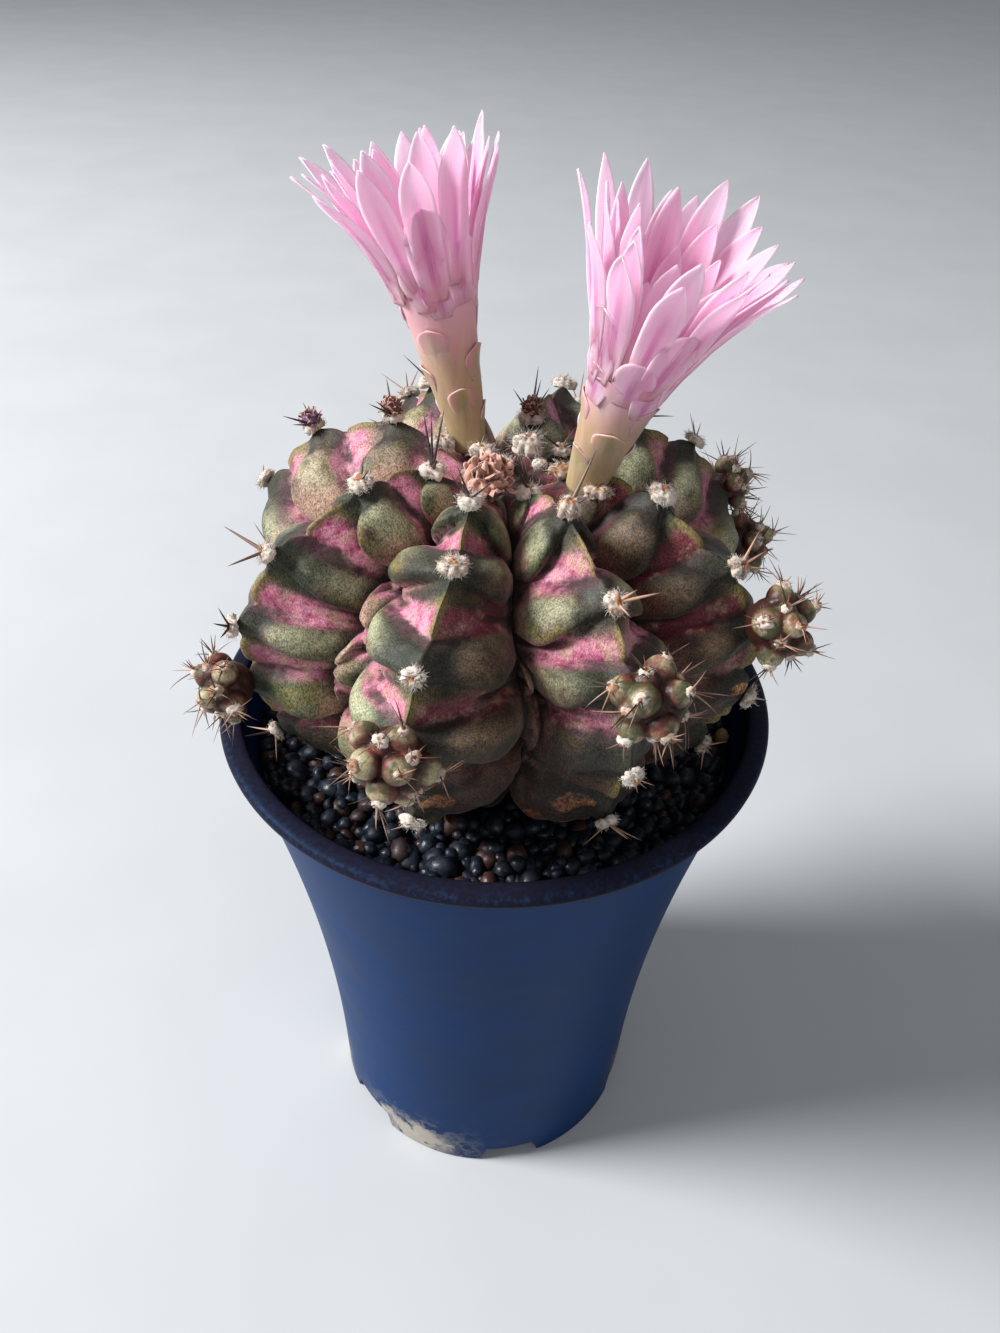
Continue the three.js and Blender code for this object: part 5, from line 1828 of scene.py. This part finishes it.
class PLANT_OT_offsets(bpy.types.Operator):
    """Builds the offsets with their wool and spines"""

    bl_idname = "plant.offsets"
    bl_label = "Offsets"

    def execute(self, context):
        wool = context.scene.cactus_wool
        material = offset_material(context.scene.cactus_offset)
        heaps = {"wool": Heap(), "spines": Heap(), "material": material}
        for index in range(len(OFFSETS)):
            build_offset(heaps, index)
        heaps["wool"].piece("offset_wool", wool_material(wool))
        heaps["spines"].piece("offset_spines", spine_material(wool))
        return {"FINISHED"}


class PLANT_OT_flowers(bpy.types.Operator):
    """Builds the flowers, the dried bloom and the buds"""

    bl_idname = "plant.flowers"
    bl_label = "Flowers and buds"

    def execute(self, context):
        settings = context.scene.cactus_flower
        for index in range(len(FLOWERS)):
            build_flower(index, settings)
        draw = np.random.default_rng(GROWTH_SEED)
        build_growth(DRIED_BLOOM, dried_material(settings), "dried_flower", 34, draw)
        buds = bud_material()
        for index, bud in enumerate(BUDS):
            build_growth(bud, buds, "bud_skin", 22, draw, 1.0 if index == 0 else 0.0, 0.6)
        return {"FINISHED"}


class PLANT_OT_stage(bpy.types.Operator):
    """Sets the floor, the lights and the camera"""

    bl_idname = "plant.stage"
    bl_label = "Stage"

    def execute(self, context):
        build_stage(context.scene.cactus_stage)
        return {"FINISHED"}


def placed(axes, place):
    """A matrix that sets an object at a place, with its X, Y and Z along three axes."""
    rows = np.stack(axes, 1)
    return Matrix([[*rows[i], place[i]] for i in range(3)] + [[0, 0, 0, 1]])


def add_floor(settings):
    """A wide pale floor."""
    mesh = bpy.data.meshes.new("floor")
    corners = [(x * FLOOR_HALF, y * FLOOR_HALF, 0) for x, y in ((-1, -1), (1, -1), (1, 1), (-1, 1))]
    mesh.from_pydata(corners, [], [(0, 1, 2, 3)])
    floor = bpy.data.objects.new("floor", mesh)
    bpy.context.scene.collection.objects.link(floor)
    material, nodes, shader = new_material("floor", Roughness=0.75, Specular_IOR_Level=0.2)
    shade = nodes.between(nodes.noise(60, 3.0, 0.5), 0.3, 0.7)
    nodes.feed(shader["Base Color"], nodes.mix(shade, settings.floor, toned(settings.floor, 0.96)))
    mesh.materials.append(material)


def add_lights(settings):
    """A pale sky, one large soft light above and a little behind, and a weak one in front."""
    scene = bpy.context.scene
    world = bpy.data.worlds.new("studio")
    scene.world = world
    world.use_nodes = True
    background = world.node_tree.nodes["Background"]
    background.inputs["Color"].default_value = SKY_COLOUR
    background.inputs["Strength"].default_value = settings.sky
    for name, place, width, share in LIGHTS:
        lamp = bpy.data.lights.new(name, "AREA")
        lamp.shape = "DISK"
        lamp.size = width
        lamp.energy = settings.key * share
        light = bpy.data.objects.new(name, lamp)
        scene.collection.objects.link(light)
        back = unit(np.array(place) - np.array(LIGHT_TARGET))
        side = unit(np.cross([0, 0, 1.0], back))
        light.matrix_world = placed([side, np.cross(back, side), back], place)


def add_camera(settings):
    """The camera that the photograph was solved for."""
    pitch, roll = settings.tilt, settings.roll
    forward = np.array([0, math.cos(pitch), -math.sin(pitch)])
    right = np.array([1.0, 0, 0])
    up = np.array([0, math.sin(pitch), math.cos(pitch)])
    turned_right = math.cos(roll) * right + math.sin(roll) * up
    turned_up = math.cos(roll) * up - math.sin(roll) * right
    lens = bpy.data.cameras.new("camera")
    lens.lens = FOCAL_LENGTH
    lens.sensor_width = FRAME_WIDTH
    lens.clip_start = CLIP_START
    lens.clip_end = CLIP_END
    camera = bpy.data.objects.new("camera", lens)
    bpy.context.scene.collection.objects.link(camera)
    place = (settings.camera_side, -settings.camera_distance, settings.camera_height)
    camera.matrix_world = placed([turned_right, turned_up, -forward], place)
    bpy.context.scene.camera = camera


def build_stage(settings):
    """The floor, the lights and the camera."""
    add_floor(settings)
    add_lights(settings)
    add_camera(settings)
    bpy.context.scene.view_settings.view_transform = "Standard"


class PLANT_PT_panel(bpy.types.Panel):
    """Lists the steps that build the plant"""

    bl_idname = "PLANT_PT_panel"
    bl_label = "Potted globe cactus"
    bl_space_type = "VIEW_3D"
    bl_region_type = "UI"
    bl_category = "Cactus"

    def draw(self, context):
        for operator in OPERATORS:
            self.layout.operator(operator.bl_idname, text=operator.bl_label)


OPERATORS = [
    PLANT_OT_pot,
    PLANT_OT_body,
    PLANT_OT_areoles,
    PLANT_OT_offsets,
    PLANT_OT_flowers,
    PLANT_OT_stage,
]


def register():
    """Registers the settings, the steps and the panel."""
    for name, group in SETTINGS.items():
        bpy.utils.register_class(group)
        setattr(bpy.types.Scene, name, bpy.props.PointerProperty(type=group))
    for kind in [*OPERATORS, PLANT_PT_panel]:
        bpy.utils.register_class(kind)


def unregister():
    """Removes what register added."""
    for kind in reversed([*OPERATORS, PLANT_PT_panel]):
        bpy.utils.unregister_class(kind)
    for name, group in SETTINGS.items():
        delattr(bpy.types.Scene, name)
        bpy.utils.unregister_class(group)


def main():
    """Runs every step in order."""
    register()
    bpy.ops.plant.pot()
    bpy.ops.plant.body()
    bpy.ops.plant.areoles()
    bpy.ops.plant.offsets()
    bpy.ops.plant.flowers()
    bpy.ops.plant.stage()


if __name__ == "__main__":
    main()
